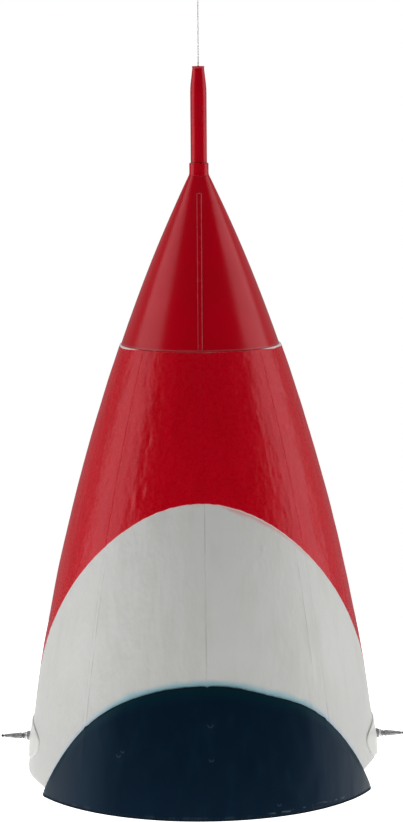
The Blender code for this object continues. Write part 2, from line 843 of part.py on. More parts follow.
def main():
    hanging_point = empty_at("hanging_point", 0.0)
    base_plane = empty_at("base_plane", -HANG_HEIGHT, hanging_point)
    nose_axis = empty_at("nose_swivel_axis", 0.0, base_plane)
    hull_axis = empty_at("hull_slide_axis", 0.0, nose_axis)
    motor_axis = empty_at("motor_slide_axis", 0.0, hull_axis)
    holes = {side: side_hole_cutter(side, hull_axis) for side in SIDE_ARCHES}
    arches = {side: side_arch_cutter(side, hull_axis) for side in SIDE_ARCHES}
    build_wire(base_plane)
    build_probe(nose_axis)
    build_nose(nose_axis)
    build_gores(hull_axis, holes, arches)
    build_frame(hull_axis)
    build_skirts(hull_axis)
    for side in SIDE_ARCHES:
        build_side(side, hull_axis, holes[side], arches[side])
    build_motor(hull_axis, motor_axis)


main()
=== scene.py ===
from math import acos, cos, exp, hypot, pi, radians, sin, sqrt, tan

import bmesh
import bpy
from mathutils import Matrix, Vector, noise


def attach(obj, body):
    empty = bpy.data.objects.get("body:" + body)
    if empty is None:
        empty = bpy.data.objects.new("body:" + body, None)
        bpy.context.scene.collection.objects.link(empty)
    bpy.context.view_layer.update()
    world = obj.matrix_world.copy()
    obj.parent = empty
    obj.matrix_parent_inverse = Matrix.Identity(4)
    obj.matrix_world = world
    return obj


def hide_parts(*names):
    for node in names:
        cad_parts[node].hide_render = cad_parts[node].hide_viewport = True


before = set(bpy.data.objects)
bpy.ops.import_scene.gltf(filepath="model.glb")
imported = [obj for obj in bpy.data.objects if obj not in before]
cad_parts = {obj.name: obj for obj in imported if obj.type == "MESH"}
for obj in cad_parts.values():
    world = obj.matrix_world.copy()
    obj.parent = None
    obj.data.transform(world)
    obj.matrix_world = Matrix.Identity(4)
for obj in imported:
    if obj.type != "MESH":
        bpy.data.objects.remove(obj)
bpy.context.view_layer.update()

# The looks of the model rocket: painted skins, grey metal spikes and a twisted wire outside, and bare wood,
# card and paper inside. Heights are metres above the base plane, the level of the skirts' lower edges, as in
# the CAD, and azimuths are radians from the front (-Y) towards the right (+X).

# Driving dimensions that the CAD has too.
GAP = 0.0003
HANG_HEIGHT = 0.5000
HULL_BASE_RADIUS = 0.1083
HULL_TOP_RADIUS = 0.0486
HULL_TOP = 0.2672
HULL_BULGE = 0.00805
HULL_RIM = 0.0024
HULL_WALL = 0.0016
HULL_TURN = radians(1.4)
GORES = 8
NOSE_TOP = 0.3684
NOSE_TOP_RADIUS = 0.0062
NOSE_BASE = 0.2678
NOSE_BASE_RADIUS = 0.0476
NOSE_BULGE = 0.0016
NOSE_WALL = 0.0017
STRIP_WIDTH = 0.0030
STRIP_THICKNESS = 0.0006
STRIP_HEAD = 0.3585
PROBE_RADIUS = 0.0049
PROBE_WALL = 0.0007
PROBE_TIP_RADIUS = 0.0035
PROBE_FOOT = 0.3520
PROBE_SHOULDER = 0.4205
PROBE_TIP = 0.4336
COLLAR_RADIUS = 0.0058
COLLAR_HEIGHT = 0.0072
WIRE_DIAMETER = 0.0008
PLUG_FOOT = 0.4270
PLUG_TOP = 0.4312
FERRULE_FOOT = 0.4775
FERRULE_TOP = 0.4869
FERRULE_RADIUS = 0.0013
LOOP_HALF_WIDTH = 0.0042
LOOP_HALF_HEIGHT = 0.0064
SKIRT_HALF_ANGLE = radians(65.9)
SKIRT_HEIGHT = 0.0776
SKIRT_POWER = 2.4
SKIRT_THICKNESS = 0.0010
SKIRT_TURN = radians(3.0)
SPIKE_HEIGHT = 0.0243
FAIRING_HALF_WIDTH = 0.0366
FAIRING_WIDEST = 0.0285
FAIRING_RISE = 0.0078
FAIRING_DROP = 0.0155
FAIRING_THICKNESS = 0.0012
SPIKE_HOLE = 0.0017
SPIKE_SHANK = 0.0012
SHANK_LENGTH = 0.0110
FLANGE_RADIUS = 0.0031
FLANGE_LENGTH = 0.0024
SPIKE_ROOT_RADIUS = 0.0016
SPIKE_TIP_RADIUS = 0.0008
SPIKE_BEAD_RADIUS = 0.0009
SPIKE_LENGTH = 0.0150
SIDE_ARCHES = {"left": 0.0058, "right": 0.0144}
SIDE_ARCH_HALF_WIDTH = 0.0540
SIDE_ARCH_POWER = 5.0

# The paint's layout: a white arch on a red hull, front and back, over a navy skirt.
WHITE_ARCH_TOP = 0.1810
WHITE_ARCH_DROP = 0.0473  # per square radian away from the front or the back


def side_curve(foot, top, bulge):
    """Radius as a function of height, along the circular arc from foot to top with the given sagitta."""
    (foot_radius, foot_height), (top_radius, top_height) = foot, top
    half_chord = hypot(top_radius - foot_radius, top_height - foot_height) / 2
    curve_radius = (half_chord**2 + bulge**2) / (2 * bulge)
    middle = Vector(((foot_radius + top_radius) / 2, (foot_height + top_height) / 2))
    inward = Vector((foot_height - top_height, top_radius - foot_radius)).normalized()
    centre = middle + inward * (curve_radius - bulge)

    def radius_at(height):
        return centre.x + sqrt(curve_radius**2 - (height - centre.y) ** 2)

    return radius_at


HULL_RADIUS = side_curve((HULL_BASE_RADIUS, 0.0), (HULL_TOP_RADIUS, HULL_TOP), HULL_BULGE)
NOSE_RADIUS = side_curve((NOSE_BASE_RADIUS, NOSE_BASE), (NOSE_TOP_RADIUS, NOSE_TOP), NOSE_BULGE)


def steps_between(first, last, count):
    return [first + (last - first) * index / count for index in range(count + 1)]


def smooth_step(value):
    value = min(1.0, max(0.0, value))
    return value * value * (3 - 2 * value)


def hill(distance, width):
    """A smooth bump, 1 in the middle, that fades over the width."""
    return exp(-((distance / width) ** 2))


def turn_between(first, second):
    """The angle from the second azimuth to the first, from -pi to pi."""
    return (first - second + pi) % (2 * pi) - pi


# Azimuths of the seams that show through the hull's paint.
SEAMS = tuple(radians(turn) for turn in (1.4, 41.8, 91.4, 136.4, -178.6, -133.6, -88.6, -42.3))

# Where the front skirt's hand-painted upper edge strays from its arch: azimuth, height, half-width.
ARCH_SWAYS = ((radians(-44.0), 0.0023, radians(28.0)), (radians(23.5), -0.0028, radians(20.0)))


def around(radius, azimuth, height):
    """The point at an azimuth and a height above the base plane."""
    return Vector((radius * sin(azimuth), -radius * cos(azimuth), height - HANG_HEIGHT))


def ripple(azimuth, height, across, along, seed):
    """Smooth noise from -1 to 1 on the hull, with a wavelength across and one along it, in metres."""
    radius = HULL_RADIUS(max(0.0, height))
    place = Vector((radius * sin(azimuth) / across, radius * cos(azimuth) / across, height / along))
    return noise.noise(place + Vector((seed, 2 * seed, -seed)))


# Camera, lights and floor.

CAMERA_DISTANCE = 1.704
CAMERA_HEIGHT = 0.4596
CAMERA_SIDE = 0.0005
CAMERA_PITCH = radians(7.82)
CAMERA_ROLL = radians(0.42)
CAMERA_LENS = 124.0
FLOOR_DROP = 0.22
FLOOR_RADIUS = 1.5
FLOOR_GLOW = 1.15


def add_object(name, data):
    obj = bpy.data.objects.new(name, data)
    bpy.context.scene.collection.objects.link(obj)
    return obj


def build_camera():
    data = bpy.data.cameras.new("camera")
    data.lens = CAMERA_LENS
    data.sensor_width = 36.0
    data.clip_start = 0.01
    camera = add_object("camera", data)
    place = Matrix.Translation((CAMERA_SIDE, -CAMERA_DISTANCE, CAMERA_HEIGHT - HANG_HEIGHT))
    tilt = Matrix.Rotation(pi / 2 - CAMERA_PITCH, 4, "X")
    camera.matrix_world = place @ tilt @ Matrix.Rotation(-CAMERA_ROLL, 4, "Z")
    bpy.context.scene.camera = camera


def build_softbox(name, azimuth, height, distance, size, radiance):
    """A rectangular lamp that faces the rocket's axis."""
    data = bpy.data.lights.new(name, "AREA")
    data.shape = "RECTANGLE"
    data.size, data.size_y = size
    data.energy = radiance * pi * size[0] * size[1]
    lamp = add_object(name, data)
    lamp.location = around(distance, azimuth, height)
    aim = around(0.0, 0.0, HANG_HEIGHT / 2) - lamp.location
    lamp.rotation_euler = aim.to_track_quat("-Z", "Y").to_euler()
    lamp.visible_camera = False


def build_floor():
    bm = bmesh.new()
    bmesh.ops.create_circle(bm, cap_ends=True, radius=FLOOR_RADIUS, segments=96)
    mesh = bpy.data.meshes.new("floor")
    bm.to_mesh(mesh)
    bm.free()
    floor = add_object("floor", mesh)
    floor.location = (0.0, 0.0, -HANG_HEIGHT - FLOOR_DROP)
    paint = Paint("pale_floor")
    grain = paint.noise(paint.position(), 30.0, detail=2.0)
    paint.set("Base Color", paint.mix(grain, (0.84, 0.84, 0.84), (0.88, 0.88, 0.88)))
    paint.set("Roughness", 0.9)
    paint.set("Specular IOR Level", 0.0)
    paint.set("Emission Color", (1.0, 1.0, 1.0))
    paint.set("Emission Strength", FLOOR_GLOW)
    mesh.materials.append(paint.material)


def build_world():
    """White to the camera. For light, a dim room with a brighter ceiling and a grey wall behind."""
    world = bpy.data.worlds.new("studio")
    bpy.context.scene.world = world
    world.use_nodes = True
    tree = world.node_tree
    tree.nodes.clear()
    room = Nodes(tree)
    axes = room.split(room.value("ShaderNodeTexCoord", None, "Generated"))
    ceiling = axes["Z"].fade(0.80, 0.95, 0.0, 0.60)
    behind = axes["Y"].fade(0.20, 0.80, 0.0, 0.22)
    glow = ceiling + behind
    sees = room.value("ShaderNodeLightPath", None, "Is Camera Ray")
    strength = room.math("MAXIMUM", glow, sees)
    background = room.add("ShaderNodeBackground", {"Strength": strength})
    background.inputs["Color"].default_value = (1.0, 1.0, 1.0, 1.0)
    output = room.add("ShaderNodeOutputWorld")
    tree.links.new(background.outputs[0], output.inputs[0])


# Materials.


class Value:
    """A node's output. Arithmetic on it, with numbers or other outputs, adds nodes to its tree."""

    def __init__(self, nodes, socket):
        self.nodes, self.socket = nodes, socket

    def __add__(self, other):
        return self.nodes.math("ADD", self, other)

    def __sub__(self, other):
        return self.nodes.math("SUBTRACT", self, other)

    def __rsub__(self, other):
        return self.nodes.math("SUBTRACT", other, self)

    def __mul__(self, other):
        return self.nodes.math("MULTIPLY", self, other)

    def __truediv__(self, other):
        return self.nodes.math("DIVIDE", self, other)

    def __pow__(self, other):
        return self.nodes.math("POWER", self, other)

    def __abs__(self):
        return self.nodes.math("ABSOLUTE", self)

    def fade(self, start, end, low=0.0, high=1.0):
        """A smooth change from low to high as the value goes from start to end."""
        inputs = {"Value": self, "From Min": start, "From Max": end, "To Min": low, "To Max": high}
        return self.nodes.value("ShaderNodeMapRange", inputs, interpolation_type="SMOOTHSTEP")


class Nodes:
    """Short ways to add nodes to a tree. A node's output or a plain value may be given for any input."""

    def __init__(self, tree):
        self.tree = tree

    def add(self, kind, inputs=None, **settings):
        node = self.tree.nodes.new(kind)
        for name, value in settings.items():
            setattr(node, name, value)
        for name, value in (inputs or {}).items():
            self.feed(node.inputs[name], value)
        return node

    def value(self, kind, inputs, output=0, **settings):
        return Value(self, self.add(kind, inputs, **settings).outputs[output])

    def feed(self, socket, value):
        value = value.socket if isinstance(value, Value) else value
        if isinstance(value, bpy.types.NodeSocket):
            self.tree.links.new(value, socket)
        elif isinstance(value, (tuple, list)) and socket.type == "RGBA" and len(value) == 3:
            socket.default_value = (*value, 1.0)
        else:
            socket.default_value = value

    def math(self, operation, first, second=0.0):
        return self.value("ShaderNodeMath", {0: first, 1: second}, operation=operation)

    def mix(self, factor, first, second, blend="MIX"):
        node = self.add("ShaderNodeMix", data_type="RGBA", blend_type=blend)
        colours = [socket for socket in node.inputs if socket.type == "RGBA"]
        self.feed(node.inputs[0], factor)
        self.feed(colours[0], first)
        self.feed(colours[1], second)
        return Value(self, next(socket for socket in node.outputs if socket.type == "RGBA"))

    def scaled(self, vector, scale):
        return self.value("ShaderNodeVectorMath", {0: vector, 1: scale}, operation="MULTIPLY")

    def noise(self, vector, scale, detail=3.0, roughness=0.5, distortion=0.0):
        inputs = {"Vector": vector, "Scale": scale, "Detail": detail, "Roughness": roughness}
        return self.value("ShaderNodeTexNoise", {**inputs, "Distortion": distortion})

    def cells(self, vector, scale):
        return self.value("ShaderNodeTexVoronoi", {"Vector": vector, "Scale": scale}, "Distance")

    def split(self, vector):
        outputs = self.add("ShaderNodeSeparateXYZ", {0: vector}).outputs
        return {axis: Value(self, outputs[axis]) for axis in "XYZ"}


class Paint(Nodes):
    """A material on one Principled BSDF."""

    def __init__(self, name):
        self.material = bpy.data.materials.new(name)
        self.material.use_nodes = True
        super().__init__(self.material.node_tree)
        self.shader = self.tree.nodes["Principled BSDF"]
        self.heights = []

    def set(self, socket, value):
        self.feed(self.shader.inputs[socket], value)

    def position(self):
        return self.value("ShaderNodeTexCoord", None, "Object")

    def axes(self):
        return self.split(self.position())

    def wrapped(self, along):
        """Coordinates that follow the hull round, so that streaks run down it. Along is their stretch."""
        return self.scaled(self.position(), (1.0, 1.0, along))

    def relief(self, height, depth):
        """Adds a surface relief, its height from 0 to 1 and its depth in metres."""
        self.heights.append((height, depth))

    def finish(self):
        normal = None
        for height, depth in self.heights:
            bump = self.add("ShaderNodeBump", {"Height": height, "Distance": depth})
            bump.inputs["Strength"].default_value = 1.0
            if normal is not None:
                self.feed(bump.inputs["Normal"], normal)
            normal = bump.outputs[0]
        if normal is not None:
            self.set("Normal", normal)
        return self.material


def hull_places(paint):
    """Height above the base plane, and azimuth."""
    axes = paint.axes()
    return axes["Z"] + HANG_HEIGHT, paint.math("ARCTAN2", axes["X"], axes["Y"] * -1.0)


def skirt_edge(paint, azimuth):
    """Height of the nearer skirt's arch, and distance from its middle as a share of its half-width."""
    turned = azimuth - SKIRT_TURN
    half_turns = paint.math("ROUND", turned / pi)
    from_middle = abs(turned - half_turns * pi)
    share = from_middle / SKIRT_HALF_ANGLE
    fall = share**SKIRT_POWER
    height = (1.0 - fall) * SKIRT_HEIGHT
    for middle, sway, half_width in ARCH_SWAYS:
        distance = abs(azimuth - middle)
        height = height + distance.fade(half_width, 0.0, 0.0, sway)
    return height, share


RED = (0.710, 0.0004, 0.0125)
RED_DEEP = (0.665, 0.0003, 0.0105)
RED_WORN = (0.740, 0.0080, 0.0220)
NOSE_RED = (0.650, 0.0004, 0.0120)
NOSE_RED_DEEP = (0.610, 0.0003, 0.0100)
WHITE = (0.802, 0.806, 0.778)
WHITE_AGED = (0.755, 0.755, 0.722)
WHITE_SHADED_LOW = (0.675, 0.680, 0.655)
PINK = (0.800, 0.330, 0.320)
EDGE_PINK_HIGHLIGHT = (0.950, 0.780, 0.750)
CHIPPED_AND_HIGHLIGHT = (1.0, 0.860, 0.840)
NAVY = (0.0026, 0.0105, 0.0255)
NAVY_TEAL = (0.0022, 0.0250, 0.0350)
NAVY_WORN = (0.0300, 0.0480, 0.0700)
NAVY_RUBBED = (0.0850, 0.1100, 0.1300)
NAVY_EDGE_SHADOW = (0.0030, 0.0050, 0.0070)
FRINGE = (0.300, 0.620, 0.720)
PALE_FRINGE = (0.580, 0.700, 0.820)
RED_GLOSS = (1.0, 0.57, 0.63)
NAVY_GLOSS = (0.34, 0.68, 1.0)
STEP_SHADE_GREY = (0.420, 0.420, 0.400)


def hull_paint():
    """Red over white, brushed, with a masked arch between them and navy overspray above the skirts."""
    paint = Paint("hull_paint")
    height, azimuth = hull_places(paint)
    axes = paint.axes()
    nearest = paint.math("ARCTAN2", abs(axes["X"]), abs(axes["Y"]))  # from the front or the back
    place = paint.position()
    coarse = paint.noise(place, 26.0)
    fine = paint.noise(place, 420.0)
    streaks = paint.noise(paint.wrapped(0.10), 420.0, detail=2.0)
    lumps = paint.noise(paint.wrapped(0.55), 210.0, detail=2.0)
    broad_streaks = paint.noise(paint.wrapped(0.22), 95.0, detail=2.5)

    drop = nearest * nearest * WHITE_ARCH_DROP
    edge = WHITE_ARCH_TOP - drop
    wobble = (paint.noise(place, 210.0, detail=2.0) - 0.5) * 0.0011
    above = height - edge + wobble

    red = paint.mix(broad_streaks.fade(0.35, 0.70), RED, RED_DEEP)
    red = paint.mix(streaks.fade(0.60, 0.85, 0.0, 0.35), red, RED_WORN)
    white = paint.mix(broad_streaks.fade(0.40, 0.75), WHITE, WHITE_AGED)
    white = paint.mix(coarse.fade(0.55, 0.80, 0.0, 0.5), white, WHITE_AGED)
    # Painted shade: the white darkens towards the lower rim, where less light falls.
    white = paint.mix(height.fade(0.100, 0.020, 0.0, 0.9), white, WHITE_SHADED_LOW)

    # Red that crept under the tape on the right of the arch.
    creep_place = azimuth.fade(0.12, 0.22) * azimuth.fade(1.10, 0.45)
    creep_reach = paint.noise(place, 110.0, detail=2.0) * -0.0075
    creep = above.fade(creep_reach, -0.0003) * creep_place
    white = paint.mix(creep * 0.80, white, PINK)

    # A painted highlight along the raised edge of the white paint, pink where the white lies thin over the
    # red.
    edge_highlight_line = above.fade(-0.0011, -0.0005) * above.fade(-0.0001, 0.0002, 1.0, 0.0)
    is_red = above.fade(-0.0001, 0.0002)
    colour = paint.mix(is_red, white, red)
    colour = paint.mix(edge_highlight_line * 0.9, colour, EDGE_PINK_HIGHLIGHT)

    # The gores' seams, which show as broken hairlines.
    from_seam = pi
    for seam in SEAMS:
        apart = abs(azimuth - seam)
        from_seam = paint.math("MINIMUM", from_seam, apart)
    hairline = (from_seam * HULL_BASE_RADIUS).fade(0.00075, 0.00015)
    hairline = hairline * paint.noise(place, 45.0).fade(0.38, 0.62, 0.06, 0.40)
    colour = paint.mix(hairline, colour, (0.55, 0.55, 0.55), blend="MULTIPLY")

    # Navy overspray, wide at the top of the arch and thin down its sides.
    skirt_height, share = skirt_edge(paint, azimuth)
    over_skirt = height - (skirt_height + 0.0005)
    reach = share.fade(0.25, 0.90, 0.0046, 0.0048)
    reach = reach * paint.noise(place, 90.0).fade(0.25, 0.75, 0.75, 1.25)
    nearness = over_skirt / reach
    fringe = nearness.fade(0.0, 1.0, 1.0, 0.0) * share.fade(0.98, 1.02, 1.0, 0.0)
    overspray = paint.mix(share.fade(0.45, 0.72), FRINGE, PALE_FRINGE)
    colour = paint.mix(fringe * 0.90, colour, overspray)

    # Bare filler where the edge against the nose has chipped, together with a painted highlight along that
    # edge, wider and paler towards the sides.
    from_top = HULL_TOP - height
    ragged = paint.noise(place, 160.0, detail=4.0) * 0.0010
    from_middle = abs(axes["X"])
    side_wear_and_highlight = from_middle.fade(0.034, 0.047, -0.0002, 0.0008)
    intact = azimuth.fade(-0.52, -0.42) * azimuth.fade(0.04, 0.0)
    side_wear_and_highlight = side_wear_and_highlight - intact * 0.002
    chip_and_highlight = (from_top - side_wear_and_highlight).fade(ragged, ragged - 0.0002)
    filler_and_highlight = paint.mix(from_middle.fade(0.030, 0.044), PINK, CHIPPED_AND_HIGHLIGHT)
    colour = paint.mix(chip_and_highlight, colour, filler_and_highlight)

    paint.set("Base Color", colour)
    rough = fine.fade(0.25, 0.75, 0.23, 0.35)
    paint.set("Roughness", rough + above.fade(0.0, 0.0004, 0.16, 0.0))
    paint.set("Specular Tint", paint.mix(is_red, (1.0, 1.0, 1.0), RED_GLOSS))
    specular = above.fade(-0.0001, 0.0002, 0.45, 0.65)
    paint.set("Specular IOR Level", specular * chip_and_highlight.fade(0.0, 1.0, 1.0, 0.2))
    paint.relief(above.fade(-0.0009, -0.0002, 1.0, 0.0), 0.00010)
    paint.relief(broad_streaks, 0.00045)
    paint.relief(lumps, 0.00045)
    paint.relief(streaks, 0.00008)
    return paint.finish()


def nose_paint():
    """Smooth red, a little worn at the lower edge."""
    paint = Paint("nose_paint")
    place = paint.position()
    axes = paint.axes()
    coarse = paint.noise(place, 45.0)
    peel = paint.noise(place, 700.0, detail=1.0)
    streaks = paint.noise(paint.wrapped(0.12), 300.0, detail=2.0)
    red = paint.mix(coarse.fade(0.35, 0.70), NOSE_RED, NOSE_RED_DEEP)
    red = paint.mix(streaks.fade(0.62, 0.85, 0.0, 0.20), red, RED_WORN)
    height = axes["Z"] + (HANG_HEIGHT - NOSE_BASE)
    ragged = paint.noise(place, 260.0, detail=4.0) * 0.0005
    wear = height.fade(ragged + 0.0001, ragged, 0.0, 0.5)
    paint.set("Base Color", paint.mix(wear, red, (0.66, 0.12, 0.13)))
    paint.set("Specular Tint", RED_GLOSS)
    paint.set("Specular IOR Level", 0.65)
    paint.set("Roughness", coarse.fade(0.25, 0.75, 0.20, 0.27))
    paint.relief(peel, 0.000004)
    paint.relief(streaks, 0.00001)
    return paint.finish()


def strip_paint():
    """The nose's paint, with pale painted highlights along the strip's two raised edges, weaker on the left,
    broken up by noise.
    """
    paint = Paint("strip_paint")
    place = paint.position()
    axes = paint.axes()
    side = abs(axes["X"])
    rub = paint.noise(paint.wrapped(0.2), 500.0, detail=2.0)
    # Painted highlights: the two beads are paler, the left one less so.
    bead = side.fade(0.00100, 0.00120) * rub.fade(0.20, 0.50, 0.60, 1.0)
    left = axes["X"].fade(-0.0002, 0.0002, 0.55, 1.0)
    red = paint.mix(paint.noise(place, 60.0), NOSE_RED, NOSE_RED_DEEP)
    paint.set("Base Color", paint.mix(bead * left, red, (0.62, 0.13, 0.15)))
    paint.set("Roughness", rub.fade(0.2, 0.8, 0.20, 0.30))
    paint.set("Specular Tint", RED_GLOSS)
    paint.relief(rub, 0.00001)
    return paint.finish()


# Pale scratched marks on the front skirt: azimuth, height, radius.
PALE_MARKS = (
    (radians(-28.0), 0.0360, 0.0013),
    (radians(-26.6), 0.0385, 0.0010),
    (radians(2.4), 0.0560, 0.0016),
    (radians(2.6), 0.0360, 0.0012),
    (radians(24.0), 0.0075, 0.0011),
)


def navy_paint():
    """Dark navy, brushed on, greener along the arch and scuffed along the lower rim."""
    paint = Paint("navy_paint")
    height, azimuth = hull_places(paint)
    place = paint.position()
    coarse = paint.noise(place, 34.0, detail=4.0)
    strokes = paint.noise(paint.scaled(place, (1.0, 1.0, 0.35)), 150.0)
    skirt_height, _ = skirt_edge(paint, azimuth)
    below = skirt_height - height
    colour = paint.mix(below.fade(0.0005, 0.0100, 0.75, 0.0), NAVY, NAVY_TEAL)
    colour = paint.mix(strokes.fade(0.52, 0.78, 0.0, 0.22), colour, NAVY_TEAL)
    scratch = paint.cells(paint.scaled(place, (1.0, 1.0, 0.55)), 95.0)
    scuff = scratch.fade(0.035, 0.012) * coarse.fade(0.55, 0.70)
    rim_wear = height.fade(0.0035, 0.0008) * strokes.fade(0.50, 0.66)
    worn = paint.math("MAXIMUM", scuff, rim_wear * 0.8)
    colour = paint.mix(worn, colour, NAVY_WORN)
    for middle, level, radius in PALE_MARKS:
        across = (azimuth - middle) * HULL_BASE_RADIUS
        up = height - level
        away = paint.math("SQRT", across * across + up * up)
        from_ring = abs(away - radius)
        hook = from_ring.fade(0.0007, 0.0001) * up.fade(0.0006, -0.0005)
        colour = paint.mix(hook * 0.75, colour, NAVY_WORN)

    # Painted shadow darkens its upper and lower edges, which are also duller, with a rubbed line above the
    # lower one to the right of the front.
    edge = paint.math("MAXIMUM", below.fade(0.0014, 0.0004), height.fade(0.0022, 0.0010))
    colour = paint.mix(edge * 0.8, colour, NAVY_EDGE_SHADOW)
    rub_line = (coarse - 0.5) * 0.006 + 0.0036
    from_line = abs(height - rub_line)
    rub_place = azimuth.fade(0.30, 0.42) * azimuth.fade(0.98, 0.80)
    rub = from_line.fade(0.0007, 0.0001) * rub_place
    rub = rub * paint.noise(place, 260.0, detail=2.0).fade(0.44, 0.62, 0.0, 0.8)
    colour = paint.mix(rub, colour, NAVY_RUBBED)
    paint.set("Base Color", colour)
    paint.set("Specular Tint", NAVY_GLOSS)
    paint.set("Specular IOR Level", 0.20)
    rough = strokes.fade(0.25, 0.75, 0.28, 0.36)
    paint.set("Roughness", rough + edge * 0.40)
    paint.relief(strokes, 0.00006)
    return paint.finish()


def fairing_paint():
    """The hull's white, brushed thickly over the fairings, with painted shade in the step around them."""
    paint = Paint("fairing_paint")
    place = paint.position()
    coarse = paint.noise(place, 60.0)
    strokes = paint.noise(paint.wrapped(0.3), 260.0, detail=5.0)
    axes = paint.axes()
    height = axes["Z"] + (HANG_HEIGHT - FAIRING_WIDEST)
    across = axes["Y"] / FAIRING_HALF_WIDTH
    up = paint.math("MAXIMUM", height / FAIRING_RISE, height / -FAIRING_DROP)
    out = paint.math("SQRT", across * across + up * up)
    # Painted shade: a grey line along the step at the fairing's edge.
    step_shade = out.fade(0.955, 0.995) * coarse.fade(0.3, 0.6, 0.25, 0.55)
    white = paint.mix(coarse.fade(0.40, 0.75), WHITE, WHITE_AGED)
    paint.set("Base Color", paint.mix(step_shade, white, STEP_SHADE_GREY))
    paint.set("Roughness", strokes.fade(0.25, 0.75, 0.42, 0.58))
    paint.relief(strokes, 0.00008)
    return paint.finish()


def metal(name, colour, dark, roughness, scale):
    """Drawn or turned metal with grime."""
    paint = Paint(name)
    grime = paint.noise(paint.position(), scale, detail=4.0, roughness=0.6)
    paint.set("Base Color", paint.mix(grime.fade(0.50, 0.72), colour, dark))
    paint.set("Metallic", 1.0)
    paint.set("Roughness", grime.fade(0.30, 0.70, roughness * 0.8, roughness * 1.5))
    paint.relief(grime, 0.00002)
    return paint


def spike_metal():
    """Turned metal with fine rings: a darker ring and a painted highlight on the flange's neck, and a
    blackened bead.
    """
    paint = metal("spike_metal", (0.42, 0.42, 0.43), (0.30, 0.30, 0.31), 0.60, 520.0)
    out = abs(paint.axes()["X"]) - SPIKE_ROOT
    ring = out.fade(RING_LENGTH + 0.0001, RING_LENGTH - 0.0001)
    bead_foot = FLANGE_LENGTH + SPIKE_LENGTH - 2.6 * SPIKE_BEAD_RADIUS
    bead = out.fade(bead_foot, bead_foot + 0.0004)
    plain = paint.shader.inputs["Base Color"].links[0].from_socket
    # Painted highlight: the neck between the ring and the body is near white.
    neck = out.fade(RING_LENGTH, RING_LENGTH + 0.0003) * out.fade(0.0018, 0.0016)
    plain = paint.mix(neck, plain, (0.90, 0.90, 0.90))
    blackened = paint.math("MAXIMUM", ring * 0.15, bead * 0.85)
    paint.set("Base Color", paint.mix(blackened, plain, (0.07, 0.07, 0.075)))
    rings = paint.noise(paint.scaled(paint.position(), (1.0, 0.02, 0.02)), 9000.0, detail=2.0)
    paint.relief(rings, 0.00001)
    return paint


def balsa():
    """Pale wood with long fine grain up the rocket and short dark flecks."""
    paint = Paint("balsa")
    place = paint.position()
    grain = paint.noise(paint.scaled(place, (1.0, 1.0, 0.03)), 900.0, detail=5.0, roughness=0.6)
    flecks = paint.noise(paint.scaled(place, (1.0, 1.0, 0.12)), 2200.0, detail=2.0)
    tone = paint.noise(place, 24.0, detail=2.0)
    wood = paint.mix(grain, (0.66, 0.50, 0.31), (0.50, 0.35, 0.19))
    wood = paint.mix(flecks.fade(0.66, 0.74, 0.0, 0.5), wood, (0.32, 0.20, 0.10))
    wood = paint.mix(tone.fade(0.4, 0.7, 0.0, 0.4), wood, (0.72, 0.58, 0.38))
    paint.set("Base Color", wood)
    paint.set("Roughness", grain.fade(0.2, 0.8, 0.72, 0.90))
    paint.relief(grain, 0.00012)
    return paint.finish()


def plywood():
    """Birch ply: broad grain across the sheet, thin plies of two tones on its edges."""
    paint = Paint("plywood")
    place = paint.position()
    axes = paint.axes()
    along_sheet = paint.scaled(place, (0.06, 1.0, 1.0))
    grain = paint.noise(along_sheet, 420.0, detail=6.0, roughness=0.6, distortion=0.4)
    rings = paint.noise(paint.scaled(place, (0.20, 1.0, 0.2)), 60.0, detail=2.0, distortion=1.2)
    wood = paint.mix(grain, (0.63, 0.46, 0.27), (0.45, 0.29, 0.14))
    wood = paint.mix(rings.fade(0.48, 0.60, 0.0, 0.45), wood, (0.36, 0.22, 0.10))
    ply = paint.math("PINGPONG", axes["Z"] * 1000.0, 1.0)
    wood = paint.mix(ply.fade(0.30, 0.70, 0.0, 0.22), wood, (0.24, 0.14, 0.07))
    paint.set("Base Color", wood)
    paint.set("Roughness", grain.fade(0.2, 0.8, 0.62, 0.82))
    paint.relief(grain, 0.00008)
    return paint.finish()


def wound_card(name, light, dark, pitch):
    """Kraft card wound in a spiral, with fibres and the seam between turns."""
    paint = Paint(name)
    place = paint.position()
    axes = paint.axes()
    azimuth = paint.math("ARCTAN2", axes["X"], axes["Y"])
    climb = axes["Z"] / pitch + azimuth / (2 * pi)
    seam = paint.math("PINGPONG", climb, 0.5)
    fibres = paint.noise(place, 1500.0, detail=4.0, roughness=0.7)
    blotches = paint.noise(place, 90.0)
    card = paint.mix(fibres, light, dark)
    card = paint.mix(blotches.fade(0.4, 0.7, 0.0, 0.35), card, light)
    card = paint.mix(seam.fade(0.030, 0.012, 0.0, 0.7), card, tuple(share * 0.45 for share in dark))
    paint.set("Base Color", card)
    paint.set("Roughness", fibres.fade(0.2, 0.8, 0.74, 0.92))
    paint.relief(seam.fade(0.012, 0.040), 0.00012)
    paint.relief(fibres, 0.00004)
    return paint.finish()


def lumpy(name, light, dark, scale, roughness, metallic, depth):
    """Cast or pressed stuff: cast lead and fired clay."""
    paint = Paint(name)
    place = paint.position()
    lumps = paint.noise(place, scale, detail=5.0, roughness=0.6)
    pits = paint.cells(place, scale * 2.2)
    paint.set("Base Color", paint.mix(lumps.fade(0.3, 0.7), light, dark))
    paint.set("Metallic", metallic)
    paint.set("Roughness", lumps.fade(0.2, 0.8, roughness * 0.85, roughness * 1.15))
    paint.relief(lumps, depth)
    paint.relief(pits.fade(0.0, 0.25), depth * 0.5)
    return paint.finish()


# Meshes.

FINISHES = {}  # name: material, filled by main
JOINING_DISTANCE = 2e-7
SHARP_ANGLE = radians(50)
NEARLY_STRAIGHT = radians(172)


